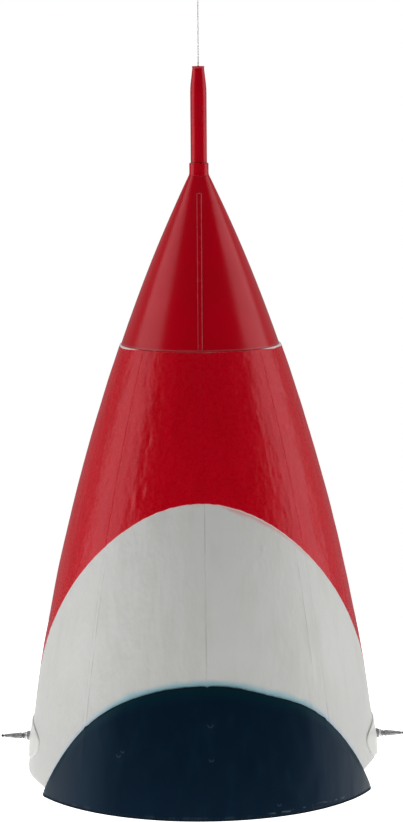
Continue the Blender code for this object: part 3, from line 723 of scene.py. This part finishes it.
def mesh_piece(name, points, faces, body, slot, node, finish=None, inner_faces=0):
    """One closed piece in its slot's own finish, or another, that replaces a node. Its faces are turned out,
    and the last inner_faces of them are bare wood."""
    mesh = bpy.data.meshes.new(name)
    mesh.from_pydata([tuple(point) for point in points], [], faces)
    mesh.materials.append(FINISHES[finish or slot])
    if inner_faces:
        mesh.materials.append(FINISHES["balsa"])
        for face in mesh.polygons[len(faces) - inner_faces :]:
            face.material_index = 1
    bm = bmesh.new()
    bm.from_mesh(mesh)
    bmesh.ops.remove_doubles(bm, verts=bm.verts, dist=JOINING_DISTANCE)
    bmesh.ops.recalc_face_normals(bm, faces=bm.faces)
    if bm.calc_volume(signed=True) < 0:
        bmesh.ops.reverse_faces(bm, faces=bm.faces)
    bm.to_mesh(mesh)
    bm.free()
    mesh.shade_smooth()
    mesh.set_sharp_from_angle(angle=SHARP_ANGLE)
    piece = add_object(name, mesh)
    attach(piece, body)
    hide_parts(node)
    return piece


def skin(row_places, column_places, pair, wraps=False):
    """Points and faces of a closed skin, and how many of its faces are inside. The pair function gives an
    outer and an inner point for a row and a column."""
    rows, columns = len(row_places), len(column_places)
    count = rows * columns
    pairs = [pair(row, column) for row in row_places for column in column_places]
    points = [*(outer for outer, _ in pairs), *(inner for _, inner in pairs)]
    last = columns if wraps else columns - 1

    def quads(start):
        for row in range(rows - 1):
            here = start + row * columns
            for column in range(last):
                after = (column + 1) % columns
                yield [here + column, here + after, here + columns + after, here + columns + column]

    foot, head = list(range(columns)), [count - columns + column for column in range(columns)]
    if wraps:
        edges = [*zip(foot, foot[1:] + foot[:1]), *zip(head[1:] + head[:1], head)]
    else:
        right = [row * columns + columns - 1 for row in range(1, rows - 1)]
        left = [row * columns for row in range(rows - 2, 0, -1)]
        rim = foot + right + head[::-1] + left
        edges = list(zip(rim, rim[1:] + rim[:1]))
    wall = [[a, b, b + count, a + count] for a, b in edges]
    inside = [face[::-1] for face in quads(count)]
    return points, [*quads(0), *wall, *inside], len(inside)


def tube_faces(rings, sides, start=0):
    """Faces between rings of points that follow one another, and over both ends."""
    faces = []
    for ring in range(rings - 1):
        here = start + ring * sides
        for corner in range(sides):
            a, b = here + corner, here + (corner + 1) % sides
            faces.append([a, b, b + sides, a + sides])
    last = start + (rings - 1) * sides
    faces.append([start + corner for corner in reversed(range(sides))])
    faces.append([last + corner for corner in range(sides)])
    return faces


def turned_mesh(profile, segments, closed, radius_change=None):
    """Points and faces of a profile of (radius, height) pairs turned about Z."""
    points, faces = [], []
    for turn in range(segments):
        azimuth = 2 * pi * turn / segments
        for radius, height in profile:
            change = radius_change(azimuth, height) if radius_change and radius > 0 else 0.0
            points.append(((radius + change) * sin(azimuth), -(radius + change) * cos(azimuth), height))
    count = len(profile)
    pairs = list(zip(range(count), range(1, count)))
    if closed:
        pairs.append((count - 1, 0))
    for turn in range(segments):
        here, there = turn * count, (turn + 1) % segments * count
        for a, b in pairs:
            if profile[a][0] or profile[b][0]:
                faces.append([here + a, there + a, there + b, here + b])
    return points, faces


def rounded(profile, radius, closed, steps=4):
    """The profile with each corner replaced by a short arc."""
    count = len(profile)
    made = []
    for index, corner in enumerate(profile):
        if not closed and index in (0, count - 1):
            made.append(corner)
            continue
        here = Vector(corner)
        before, after = Vector(profile[index - 1]), Vector(profile[(index + 1) % count])
        back, ahead = (before - here).normalized(), (after - here).normalized()
        bend = acos(max(-1.0, min(1.0, back.dot(ahead))))
        if bend > NEARLY_STRAIGHT:
            made.append(corner)
            continue
        nearer = min((before - here).length, (after - here).length)
        reach = min(radius / max(tan(bend / 2), 0.05), nearer / 2.2)
        first, last = here + back * reach, here + ahead * reach
        for step in range(steps + 1):
            share = step / steps
            place = first.lerp(here, share).lerp(here.lerp(last, share), share)
            made.append((place.x, place.y))
    return made


def turned_piece(
    name, profile, segments, body, slot, node, finish=None, closed=True, edge=0.0002, radius_change=None
):
    """A turned piece about the rocket's own axis, its profile's heights above the base plane."""
    points, faces = turned_mesh(rounded(profile, edge, closed), segments, closed, radius_change)
    points = [(x, y, height - HANG_HEIGHT) for x, y, height in points]
    return mesh_piece(name, points, faces, body, slot, node, finish)


def edge_steps(radius, count=4):
    """Distance in from an edge and drop below the surface, along a quarter round."""
    turns = steps_between(0.0, pi / 2, count)
    return [(radius * (1 - cos(turn)), radius * (1 - sin(turn))) for turn in turns]


FIRST_EDGE, SURFACE, LAST_EDGE = range(3)


def rows_between(first, count, last):
    """Rows over a rounded edge, the surface and the other edge: place, drop, and which of the three."""
    shares = steps_between(0.0, 1.0, count)[1:-1]
    return [
        *((step, drop, FIRST_EDGE) for step, drop in first),
        *((share, 0.0, SURFACE) for share in shares),
        *((step, drop, LAST_EDGE) for step, drop in reversed(last)),
    ]


# The wire.

STRANDS = 2
STRAND_SIDES = 8
STRAND_RADIUS = WIRE_DIAMETER / 4
STRAND_PITCH = 0.0034
LOOP_OPENING = radians(9)
CRIMPS = 3
CRIMP_DEPTH = 0.00022


def wire_strands(points):
    """Points and faces of strands twisted about a path of close points."""
    made_points, faces = [], []
    for strand in range(STRANDS):
        faces += tube_faces(len(points), STRAND_SIDES, len(made_points))
        length = 0.0
        for index, point in enumerate(points):
            before, after = points[max(0, index - 1)], points[min(len(points) - 1, index + 1)]
            if index:
                length += (point - points[index - 1]).length
            along = (after - before).normalized()
            side = along.cross(Vector((0.0, 1.0, 0.0))).normalized()
            other = along.cross(side)
            turn = 2 * pi * (length / STRAND_PITCH + strand / STRANDS)
            centre = point + STRAND_RADIUS * (side * cos(turn) + other * sin(turn))
            for corner in range(STRAND_SIDES):
                angle = 2 * pi * corner / STRAND_SIDES
                made_points.append(centre + STRAND_RADIUS * (side * cos(angle) + other * sin(angle)))
    return made_points, faces


def build_wire():
    top = FERRULE_FOOT - GAP
    path = [around(0.0, 0.0, height) for height in steps_between(PLUG_FOOT, top, 320)]
    wire = mesh_piece("twisted_wire", *wire_strands(path), "wire", "twisted_wire", "suspension_wire")
    loop_centre = FERRULE_TOP + GAP + WIRE_DIAMETER / 2 + LOOP_HALF_HEIGHT
    ring = []
    for turn in steps_between(pi + LOOP_OPENING, 3 * pi - LOOP_OPENING, 260):
        level = around(0.0, 0.0, loop_centre + LOOP_HALF_HEIGHT * cos(turn))
        ring.append(level + Vector((LOOP_HALF_WIDTH * sin(turn), 0.0, 0.0)))
    loop = mesh_piece("loop_wire", *wire_strands(ring), "wire", "twisted_wire", "hanging_loop")
    waist = (FERRULE_TOP - FERRULE_FOOT) / CRIMPS
    profile = [(0.0, FERRULE_TOP), (FERRULE_RADIUS, FERRULE_TOP)]
    for crimp in range(CRIMPS):
        middle = FERRULE_TOP - waist * (crimp + 0.5)
        for share in steps_between(-0.5, 0.5, 8)[1:-1]:
            press = CRIMP_DEPTH * cos(pi * share) ** 2
            profile.append((FERRULE_RADIUS - press, middle - share * waist))
    profile += [(FERRULE_RADIUS, FERRULE_FOOT), (0.0, FERRULE_FOOT)]

    def pressed(azimuth, _):
        return -0.00012 * cos(azimuth) ** 2

    ferrule = turned_piece(
        "crimped_ferrule", profile, 48, "wire", "ferrule_metal", "loop_ferrule",
        closed=False, radius_change=pressed,
    )


# The nose.

NOSE_SKIN_FOOT = NOSE_BASE - 0.0008
STRIP_SKIN_FOOT = NOSE_BASE + 0.0004
STRIP_BEAD = 0.00030
STRIP_BEAD_RISE = 0.00026
STRIP_EASE = 0.0008  # over which each end of the strip rises from the nose

def probe_outer(height):
    taper = max(0.0, (height - PROBE_SHOULDER) / (PROBE_TIP - PROBE_SHOULDER))
    return PROBE_RADIUS + (PROBE_TIP_RADIUS - PROBE_RADIUS) * taper


def build_probe():
    bore = PROBE_RADIUS - PROBE_WALL
    shoulder = [
        (probe_outer(height) - 0.00006 * hill(height - PROBE_SHOULDER, 0.0016), height)
        for height in steps_between(PROBE_SHOULDER + 0.0030, PROBE_SHOULDER - 0.0030, 8)
    ]
    body = [(PROBE_RADIUS, height) for height in steps_between(PROBE_SHOULDER - 0.0060, PROBE_FOOT, 24)]
    lip = [
        (PROBE_TIP_RADIUS + 0.00022, PROBE_TIP),
        (PROBE_TIP_RADIUS + 0.00022, PROBE_TIP - 0.0005),
        (PROBE_TIP_RADIUS + 0.00003, PROBE_TIP - 0.0012),
    ]
    profile = [
        *lip,
        *shoulder,
        *body,
        (bore, PROBE_FOOT),
        (bore, PROBE_SHOULDER),
        (PROBE_TIP_RADIUS - PROBE_WALL, PROBE_TIP),
    ]

    def handmade(azimuth, height):
        return 0.00005 * noise.noise(Vector((cos(azimuth), sin(azimuth), height * 90.0)))

    turned_piece(
        "probe_skin", profile, 72, "nose", "probe_paint", "probe_tube", "nose_paint",
        edge=0.00022, radius_change=handmade,
    )
    clear = PROBE_WALL + GAP
    plug_radius = probe_outer(PLUG_TOP) - clear
    dome = [
        (WIRE_DIAMETER + (plug_radius - WIRE_DIAMETER) * cos(turn), PLUG_TOP + 0.0011 * sin(turn))
        for turn in steps_between(pi / 2, 0.0, 8)
    ]
    plug = [*dome, (probe_outer(PLUG_FOOT) - clear, PLUG_FOOT), (WIRE_DIAMETER, PLUG_FOOT)]
    turned_piece("domed_plug", plug, 48, "nose", "probe_paint", "tip_plug", "nose_paint", edge=0.00008)

    foot, top = NOSE_TOP - 0.0002, NOSE_TOP + GAP + COLLAR_HEIGHT
    inside = PROBE_RADIUS + 0.00006
    flare = [
        (COLLAR_RADIUS + 0.00055 * (1 - sin(turn)), foot + 0.0030 * (1 - cos(turn)))
        for turn in steps_between(pi / 2, 0.0, 6)
    ]
    rim = [(inside, top), (COLLAR_RADIUS - 0.00010, top), (COLLAR_RADIUS, top - 0.0006)]
    collar = [*rim, *flare, (inside, foot)]
    turned_piece("collar_ring", collar, 72, "nose", "probe_paint", "probe_collar", "nose_paint", edge=0.00018)


def build_nose():
    bore = PROBE_RADIUS + GAP
    outside = []
    for height in steps_between(NOSE_TOP, NOSE_SKIN_FOOT, 110):
        flare = max(0.0, NOSE_BASE - height) * 0.4
        outside.append((NOSE_RADIUS(max(height, NOSE_BASE)) + flare, height))
    inside = [(max(bore, radius - NOSE_WALL), height) for radius, height in outside[::-5]]

    def handmade(azimuth, height):
        place = Vector((1.6 * cos(azimuth), 1.6 * sin(azimuth), height * 26.0))
        fade = smooth_step((NOSE_TOP - height) / 0.02)
        return 0.00010 * fade * noise.noise(place)

    turned_piece(
        "nose_skin", [*outside, *inside], 144, "nose", "nose_paint", "nose_cone",
        edge=0.00012, radius_change=handmade,
    )


def build_strip():
    """A flat strip with a raised bead along each edge, on the front of the nose."""
    half = STRIP_WIDTH / 2
    section = [(-half, 0.0)]
    for centre in (-half + STRIP_BEAD, half - STRIP_BEAD):
        for turn in steps_between(pi, 0.0, 6):
            rise = 0.35 * STRIP_THICKNESS + STRIP_BEAD_RISE * sin(turn)
            section.append((centre + STRIP_BEAD * cos(turn), rise))
    section.append((half, 0.0))

    def row(height, shrink, lift):
        reach = NOSE_RADIUS(height) + 0.00012
        narrow = 1.0 - 0.06 * smooth_step((NOSE_TOP - height) / (NOSE_TOP - NOSE_BASE))
        axis = around(0.0, 0.0, height)
        return [
            axis + Vector((x * narrow * shrink, -sqrt(reach**2 - x**2) - rise * lift, 0.0))
            for x, rise in section
        ]

    turns = steps_between(0.0, pi / 2, 4)
    ends = [(STRIP_EASE * (1 - cos(turn)), 0.75 + 0.25 * sin(turn), sin(turn)) for turn in turns]
    middle = steps_between(STRIP_SKIN_FOOT + STRIP_EASE, STRIP_HEAD - STRIP_EASE, 60)[1:-1]
    places = [(STRIP_SKIN_FOOT + step, shrink, lift) for step, shrink, lift in ends]
    places += [(height, 1.0, 1.0) for height in middle]
    places += [(STRIP_HEAD - step, shrink, lift) for step, shrink, lift in reversed(ends)]
    points = [point for place in places for point in row(*place)]
    faces = tube_faces(len(places), len(section))
    mesh_piece("strip_moulding", points, faces, "nose", "nose_paint", "nose_strip", "strip_paint")


# The hull.

SEAM_RIDGE = 0.00011
SEAM_WIDTH = 0.0009
GORE_COLUMNS = 58
GORE_ROWS = 190
RIM_ROUND = 0.0005
TOP_ROUND = 0.00018
SEAM_ROUND = 0.00002
SEAM_GAP = 0.000005  # from a gore's edge to the middle of the seam
SKIRT_ROUND = 0.00030

# Dents, and raised marks with a negative depth: azimuth and height of the middle, half-widths across and
# along in metres, depth.
DENTS = (
    (radians(-25.0), 0.2425, 0.0013, 0.0026, 0.00030),
    (radians(-28.0), 0.2170, 0.0013, 0.0036, 0.00042),
    (radians(-28.0), 0.1870, 0.0016, 0.0046, 0.00034),
    (radians(-33.5), 0.1790, 0.0016, 0.0052, 0.00030),
    (radians(-31.0), 0.1830, 0.0013, 0.0030, -0.00022),
    (radians(43.2), 0.1735, 0.0012, 0.0110, -0.00032),
    (radians(42.0), 0.1735, 0.0012, 0.0100, 0.00016),
    (radians(76.0), 0.2340, 0.0034, 0.0014, 0.00055),
    (radians(26.0), 0.1550, 0.0015, 0.0015, -0.00046),
    (radians(24.8), 0.1540, 0.0013, 0.0013, 0.00038),
    (radians(28.0), 0.2480, 0.0060, 0.0060, 0.00020),
    (radians(61.0), 0.1650, 0.0060, 0.0120, 0.00024),
    (radians(150.0), 0.2100, 0.0060, 0.0080, 0.00026),
    (radians(205.0), 0.1500, 0.0080, 0.0070, 0.00026),
    (radians(242.0), 0.2300, 0.0040, 0.0090, 0.00024),
)


def seam_distance(azimuth, height):
    """Distance along the surface to the nearest seam."""
    apart = min(abs(turn_between(azimuth, seam)) for seam in SEAMS)
    return apart * HULL_RADIUS(max(0.0, height))


def hull_surface(azimuth, height):
    """The handmade hull's radius, with its seams, waves and dents."""
    radius = HULL_RADIUS(max(0.0, height))
    strength = 0.2 + 1.5 * smooth_step(0.5 + 1.2 * ripple(azimuth, height, 0.050, 0.050, 5.0))
    strength *= 1.7 - 1.1 * smooth_step((height - 0.110) / 0.050)
    ridge = SEAM_RIDGE * strength * hill(seam_distance(azimuth, height), SEAM_WIDTH)
    waves = 0.00026 * ripple(azimuth, height, 0.045, 0.075, 1.0)
    waves += 0.00016 * ripple(azimuth, height, 0.012, 0.024, 2.0)
    waves += 0.00007 * ripple(azimuth, height, 0.005, 0.012, 3.0)
    dents = 0.0
    for middle, level, across, along, depth in DENTS:
        apart = turn_between(azimuth, middle)
        dents += depth * hill(apart * radius, across) * hill(height - level, along)
    return radius + ridge + waves - dents


def rim_height(azimuth):
    """Height of the hull's lower edge, which is cut away on each side between the skirts."""
    reach = abs(HULL_BASE_RADIUS * cos(azimuth)) / SIDE_ARCH_HALF_WIDTH
    if reach >= 1.0:
        return HULL_RIM
    height = SIDE_ARCHES["right" if sin(azimuth) > 0 else "left"]
    return max(HULL_RIM, height * (1 - reach**SIDE_ARCH_POWER) ** (1 / SIDE_ARCH_POWER))


def build_gore(index):
    left, right = (HULL_TURN + 2 * pi / GORES * edge for edge in (index, index + 1))
    top = HULL_TOP - GAP

    def pair(row, column):
        (amount, row_drop, level), (step, column_drop, side) = row, column
        measure = HULL_RADIUS(top - amount) if level == LAST_EDGE else HULL_BASE_RADIUS
        if side == FIRST_EDGE:
            azimuth = left + step / measure
        elif side == SURFACE:
            azimuth = left + (right - left) * step
        else:
            azimuth = right - step / measure
        foot = rim_height(azimuth)
        if level == FIRST_EDGE:
            height = foot + amount
        elif level == SURFACE:
            height = foot + RIM_ROUND + (top - foot - RIM_ROUND - TOP_ROUND) * amount
        else:
            height = top - amount
        outer = hull_surface(azimuth, height) - max(row_drop, column_drop)
        return around(outer, azimuth, height), around(HULL_RADIUS(height) - HULL_WALL, azimuth, height)

    rows = rows_between(edge_steps(RIM_ROUND), GORE_ROWS, edge_steps(TOP_ROUND))
    seam_edge = [(SEAM_GAP + step, drop) for step, drop in edge_steps(SEAM_ROUND, 2)]
    points, faces, inside = skin(rows, rows_between(seam_edge, GORE_COLUMNS, seam_edge), pair)
    name, node = f"painted_gore_{index + 1}", f"hull_gore_{index + 1}"
    mesh_piece(name, points, faces, "hull", "hull_paint", node, inner_faces=inside)


# Nicks and spurs along the front skirt's upper edge: azimuth, height of the spur in metres, half-width.
SKIRT_SPURS = (
    (radians(44.6), 0.0011, 0.0006),
    (radians(-42.2), 0.0008, 0.0007),
    (radians(1.6), -0.0006, 0.0009),
)


def skirt_top(share, azimuth, front):
    """Height of a skirt's upper edge, with its ragged paint line."""
    height = SKIRT_HEIGHT * (1 - abs(share) ** SKIRT_POWER)
    for middle, sway, half_width in ARCH_SWAYS if front else ():
        height += sway * smooth_step(1 - abs(azimuth - middle) / half_width)
    ragged = 0.00018 * noise.noise(Vector((azimuth * 24.0, 3.0, 7.0)))
    ragged += 0.00010 * noise.noise(Vector((azimuth * 75.0, 9.0, 2.0)))
    serrated = smooth_step((share - 0.45) / 0.15) * 0.00030
    ragged += serrated * noise.noise(Vector((azimuth * 46.0, 1.0, 5.0)))
    if front:
        for middle, spur, width in SKIRT_SPURS:
            ragged += spur * hill((azimuth - middle) * HULL_BASE_RADIUS, width)
    return max(0.0008, height + ragged)


def build_skirt(face, middle):
    lower, upper = edge_steps(SKIRT_ROUND, 3), edge_steps(SKIRT_ROUND)

    def pair(row, share):
        amount, drop, level = row
        azimuth = middle + share * SKIRT_HALF_ANGLE
        top = skirt_top(share, azimuth, face == "front")
        scale = min(1.0, top / 0.0020)
        if level == FIRST_EDGE:
            height = amount * scale
        elif level == SURFACE:
            first, last = lower[-1][0] * scale, top - upper[-1][0] * scale
            height = first + (last - first) * amount
        else:
            height = top - amount * scale
        radius = HULL_RADIUS(max(0.0, height))
        wave = hull_surface(azimuth, height) - radius
        reach = radius + GAP
        thin = SKIRT_THICKNESS * (0.60 + 0.40 * smooth_step((top - height) / 0.0060))
        thin *= 0.35 + 0.65 * smooth_step((1 - abs(share)) / 0.03)
        outer = reach + max(0.0, wave) + max(thin - drop, 0.00004)
        return around(outer, azimuth, height), around(reach - 0.0001, azimuth, height)

    turns = steps_between(-pi / 2, pi / 2, 220)
    shares = [0.997 * (0.35 * sin(turn) + 0.65 * turn / (pi / 2)) for turn in turns]
    points, faces, _ = skin(rows_between(lower, 40, upper), shares, pair)
    mesh_piece(f"navy_skirt_{face}", points, faces, "hull", "navy_paint", f"{face}_skirt")


# The sides: fairings and spikes.


def fairing_point(direction, across, height, rise):
    """The point proud of the hull by the rise, at an arc length across a fairing and a height."""
    azimuth = direction * pi / 2 + across / HULL_RADIUS(FAIRING_WIDEST)
    return around(HULL_RADIUS(max(0.0, height)) + rise, azimuth, height)


def fairing_rise(across, height, rim):
    """How proud a fairing stands: a low panel that swells to the spike's flange. rim is 0 at its edge."""
    panel = 0.00085 * sqrt(1 - (1 - min(1.0, rim / 0.0012)) ** 2)
    swell = 0.00058 * hill(across, 0.0095) * hill(height - SPIKE_HEIGHT, 0.0052)
    waves = 0.00006 * noise.noise(Vector((across * 160, height * 200, 4.0)))
    return GAP * 0.3 + panel + (swell + waves) * smooth_step(rim / 0.003)


def build_fairing(side, direction):
    """Rings from the spike's hole out to an oval that is deeper below its widest level."""

    def pair(ring, turn):
        share = 1 - (1 - ring) ** 1.7
        depth = FAIRING_RISE if sin(turn) > 0 else FAIRING_DROP
        edge_across = FAIRING_HALF_WIDTH * cos(turn)
        edge_height = max(FAIRING_WIDEST + depth * sin(turn), SIDE_ARCHES[side] + 0.0005)
        near_across, near_height = SPIKE_HOLE * cos(turn), SPIKE_HEIGHT + SPIKE_HOLE * sin(turn)
        across = near_across + (edge_across - near_across) * share
        height = near_height + (edge_height - near_height) * share
        rim = hypot(edge_across - across, edge_height - height) * (0.35 + 0.65 * abs(sin(turn)))
        rises = (fairing_rise(across, height, rim), 0.00002)
        return [fairing_point(direction, across, height, rise) for rise in rises]

    turns = steps_between(0.0, 2 * pi, 132)[:-1]
    points, faces, _ = skin(steps_between(0.0, 1.0, 30), turns, pair, wraps=True)
    name, node = f"{side}_fairing_skin", f"{side}_fairing"
    mesh_piece(name, points, faces, "hull", "white_paint", node, "fairing_paint")


SPIKE_ROOT = HULL_RADIUS(SPIKE_HEIGHT - FLANGE_RADIUS) + 2 * GAP + FAIRING_THICKNESS
RING_LENGTH = 0.0008
SPIKE_SWELL = 0.00030  # how much wider in radius the spikes look than their CAD solids
FLANGE_SINK = 0.0009  # how far the flange's foot goes down into the fairing's swell


def sideways(points, direction):
    """Points about +Z turned to run outwards from the spike's root on one side."""
    turn = Matrix.Rotation(direction * pi / 2, 3, "Y")
    place = Vector((direction * SPIKE_ROOT, 0.0, SPIKE_HEIGHT - HANG_HEIGHT))
    return [turn @ Vector(point) + place for point in points]


def build_spike(side, direction):
    bell = [
        (SPIKE_HOLE, FLANGE_LENGTH),
        (SPIKE_HOLE + 0.0004, FLANGE_LENGTH),
        (SPIKE_HOLE + 0.0006, FLANGE_LENGTH * 0.75),
        (SPIKE_HOLE + 0.0006, RING_LENGTH + 0.0002),
        (FLANGE_RADIUS - 0.0006, RING_LENGTH),
        (FLANGE_RADIUS - 0.0003, 0.0),
        (FLANGE_RADIUS, -FLANGE_SINK),
        (SPIKE_HOLE, -FLANGE_SINK),
    ]
    points, faces = turned_mesh(rounded(bell, 0.00018, True), 64, True)
    points = sideways(points, direction)
    mesh_piece(f"{side}_flange_bell", points, faces, "hull", "spike_metal", f"{side}_spike_flange")
    waist = FLANGE_LENGTH + GAP
    neck = waist + SPIKE_LENGTH - 3 * SPIKE_BEAD_RADIUS
    bead_centre = neck + SPIKE_BEAD_RADIUS
    bead = [
        (SPIKE_BEAD_RADIUS * sin(turn), bead_centre + SPIKE_BEAD_RADIUS * cos(turn))
        for turn in steps_between(0.0, 0.76 * pi, 14)
    ]
    taper = []
    for share in steps_between(0.0, 1.0, 10):
        radius = SPIKE_TIP_RADIUS + (SPIKE_ROOT_RADIUS + SPIKE_SWELL - SPIKE_TIP_RADIUS) * share**0.75
        taper.append((radius, neck - 0.0005 + (waist + 0.0016 - neck + 0.0005) * share))
    groove = [
        (SPIKE_ROOT_RADIUS - 0.0003, waist + 0.0013),
        (SPIKE_ROOT_RADIUS - 0.0003, waist + 0.0010),
        (SPIKE_ROOT_RADIUS + SPIKE_SWELL, waist + 0.0007),
        (SPIKE_ROOT_RADIUS + SPIKE_SWELL, waist),
    ]
    profile = [
        *bead,
        (0.78 * SPIKE_TIP_RADIUS, neck),
        *taper,
        *groove,
        (SPIKE_SHANK, waist),
        (SPIKE_SHANK, -SHANK_LENGTH),
        (0.0, -SHANK_LENGTH),
    ]
    points, faces = turned_mesh(rounded(profile, 0.00012, False, steps=2), 56, False)
    points, node = sideways(points, direction), f"{side}_spike"
    mesh_piece(f"{side}_turned_spike", points, faces, node, "spike_metal", node)


# The pieces inside, which keep their CAD shapes.

INSIDE_FINISHES = {
    "wire_stop": "ferrule_metal",
    "tip_block": "balsa",
    "nose_base_ring": "plywood",
    "nose_shoulder": "card_tube",
    "nose_bulkhead": "plywood",
    "nose_weight": "weight_metal",
    "neck_ring": "plywood",
    "former_upper": "plywood",
    "former_middle": "plywood",
    "former_lower": "plywood",
    "base_plate": "plywood",
    "motor_tube": "card_tube",
    "thrust_ring": "card_tube",
    "motor_case": "motor_paper",
    "motor_nozzle": "clay",
    "left_spike_block": "balsa",
    "right_spike_block": "balsa",
    **{f"stringer_{index + 1}": "balsa" for index in range(GORES)},
}


def finish_inside():
    for node, finish in INSIDE_FINISHES.items():
        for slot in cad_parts[node].material_slots:
            slot.material = FINISHES[finish]


def make_finishes():
    return {
        "hull_paint": hull_paint(),
        "nose_paint": nose_paint(),
        "strip_paint": strip_paint(),
        "navy_paint": navy_paint(),
        "fairing_paint": fairing_paint(),
        "twisted_wire": metal("drawn_wire", (0.94, 0.94, 0.94), (0.66, 0.65, 0.64), 0.50, 900.0).finish(),
        "ferrule_metal": metal("ferrule_metal", (0.55, 0.53, 0.50), (0.20, 0.18, 0.16), 0.32, 600.0).finish(),
        "spike_metal": spike_metal().finish(),
        "balsa": balsa(),
        "plywood": plywood(),
        "card_tube": wound_card("card_tube", (0.50, 0.37, 0.24), (0.36, 0.25, 0.15), 0.030),
        "motor_paper": wound_card("motor_paper", (0.40, 0.29, 0.19), (0.27, 0.18, 0.11), 0.018),
        "weight_metal": lumpy("cast_lead", (0.26, 0.26, 0.27), (0.13, 0.13, 0.14), 300.0, 0.55, 1.0, 0.0002),
        "clay": lumpy("fired_clay", (0.36, 0.31, 0.26), (0.24, 0.20, 0.17), 700.0, 0.92, 0.0, 0.00015),
    }


def main():
    bpy.context.scene.view_settings.view_transform = "Standard"
    build_camera()
    FINISHES.update(make_finishes())
    build_wire()
    build_world()
    build_floor()
    build_softbox("left_softbox", radians(-88), 0.47, 1.35, (1.10, 1.6), 1.20)
    build_softbox("right_softbox", radians(96), 0.47, 1.35, (1.08, 1.6), 1.15)
    build_softbox("top_softbox", 0.0, 1.9, 0.15, (1.4, 1.1), 1.8)
    build_probe()
    build_nose()
    build_strip()
    for index in range(GORES):
        build_gore(index)
    build_skirt("front", SKIRT_TURN)
    build_skirt("back", SKIRT_TURN + pi)
    for side, direction in (("left", -1), ("right", 1)):
        build_fairing(side, direction)
        build_spike(side, direction)
    finish_inside()


main()
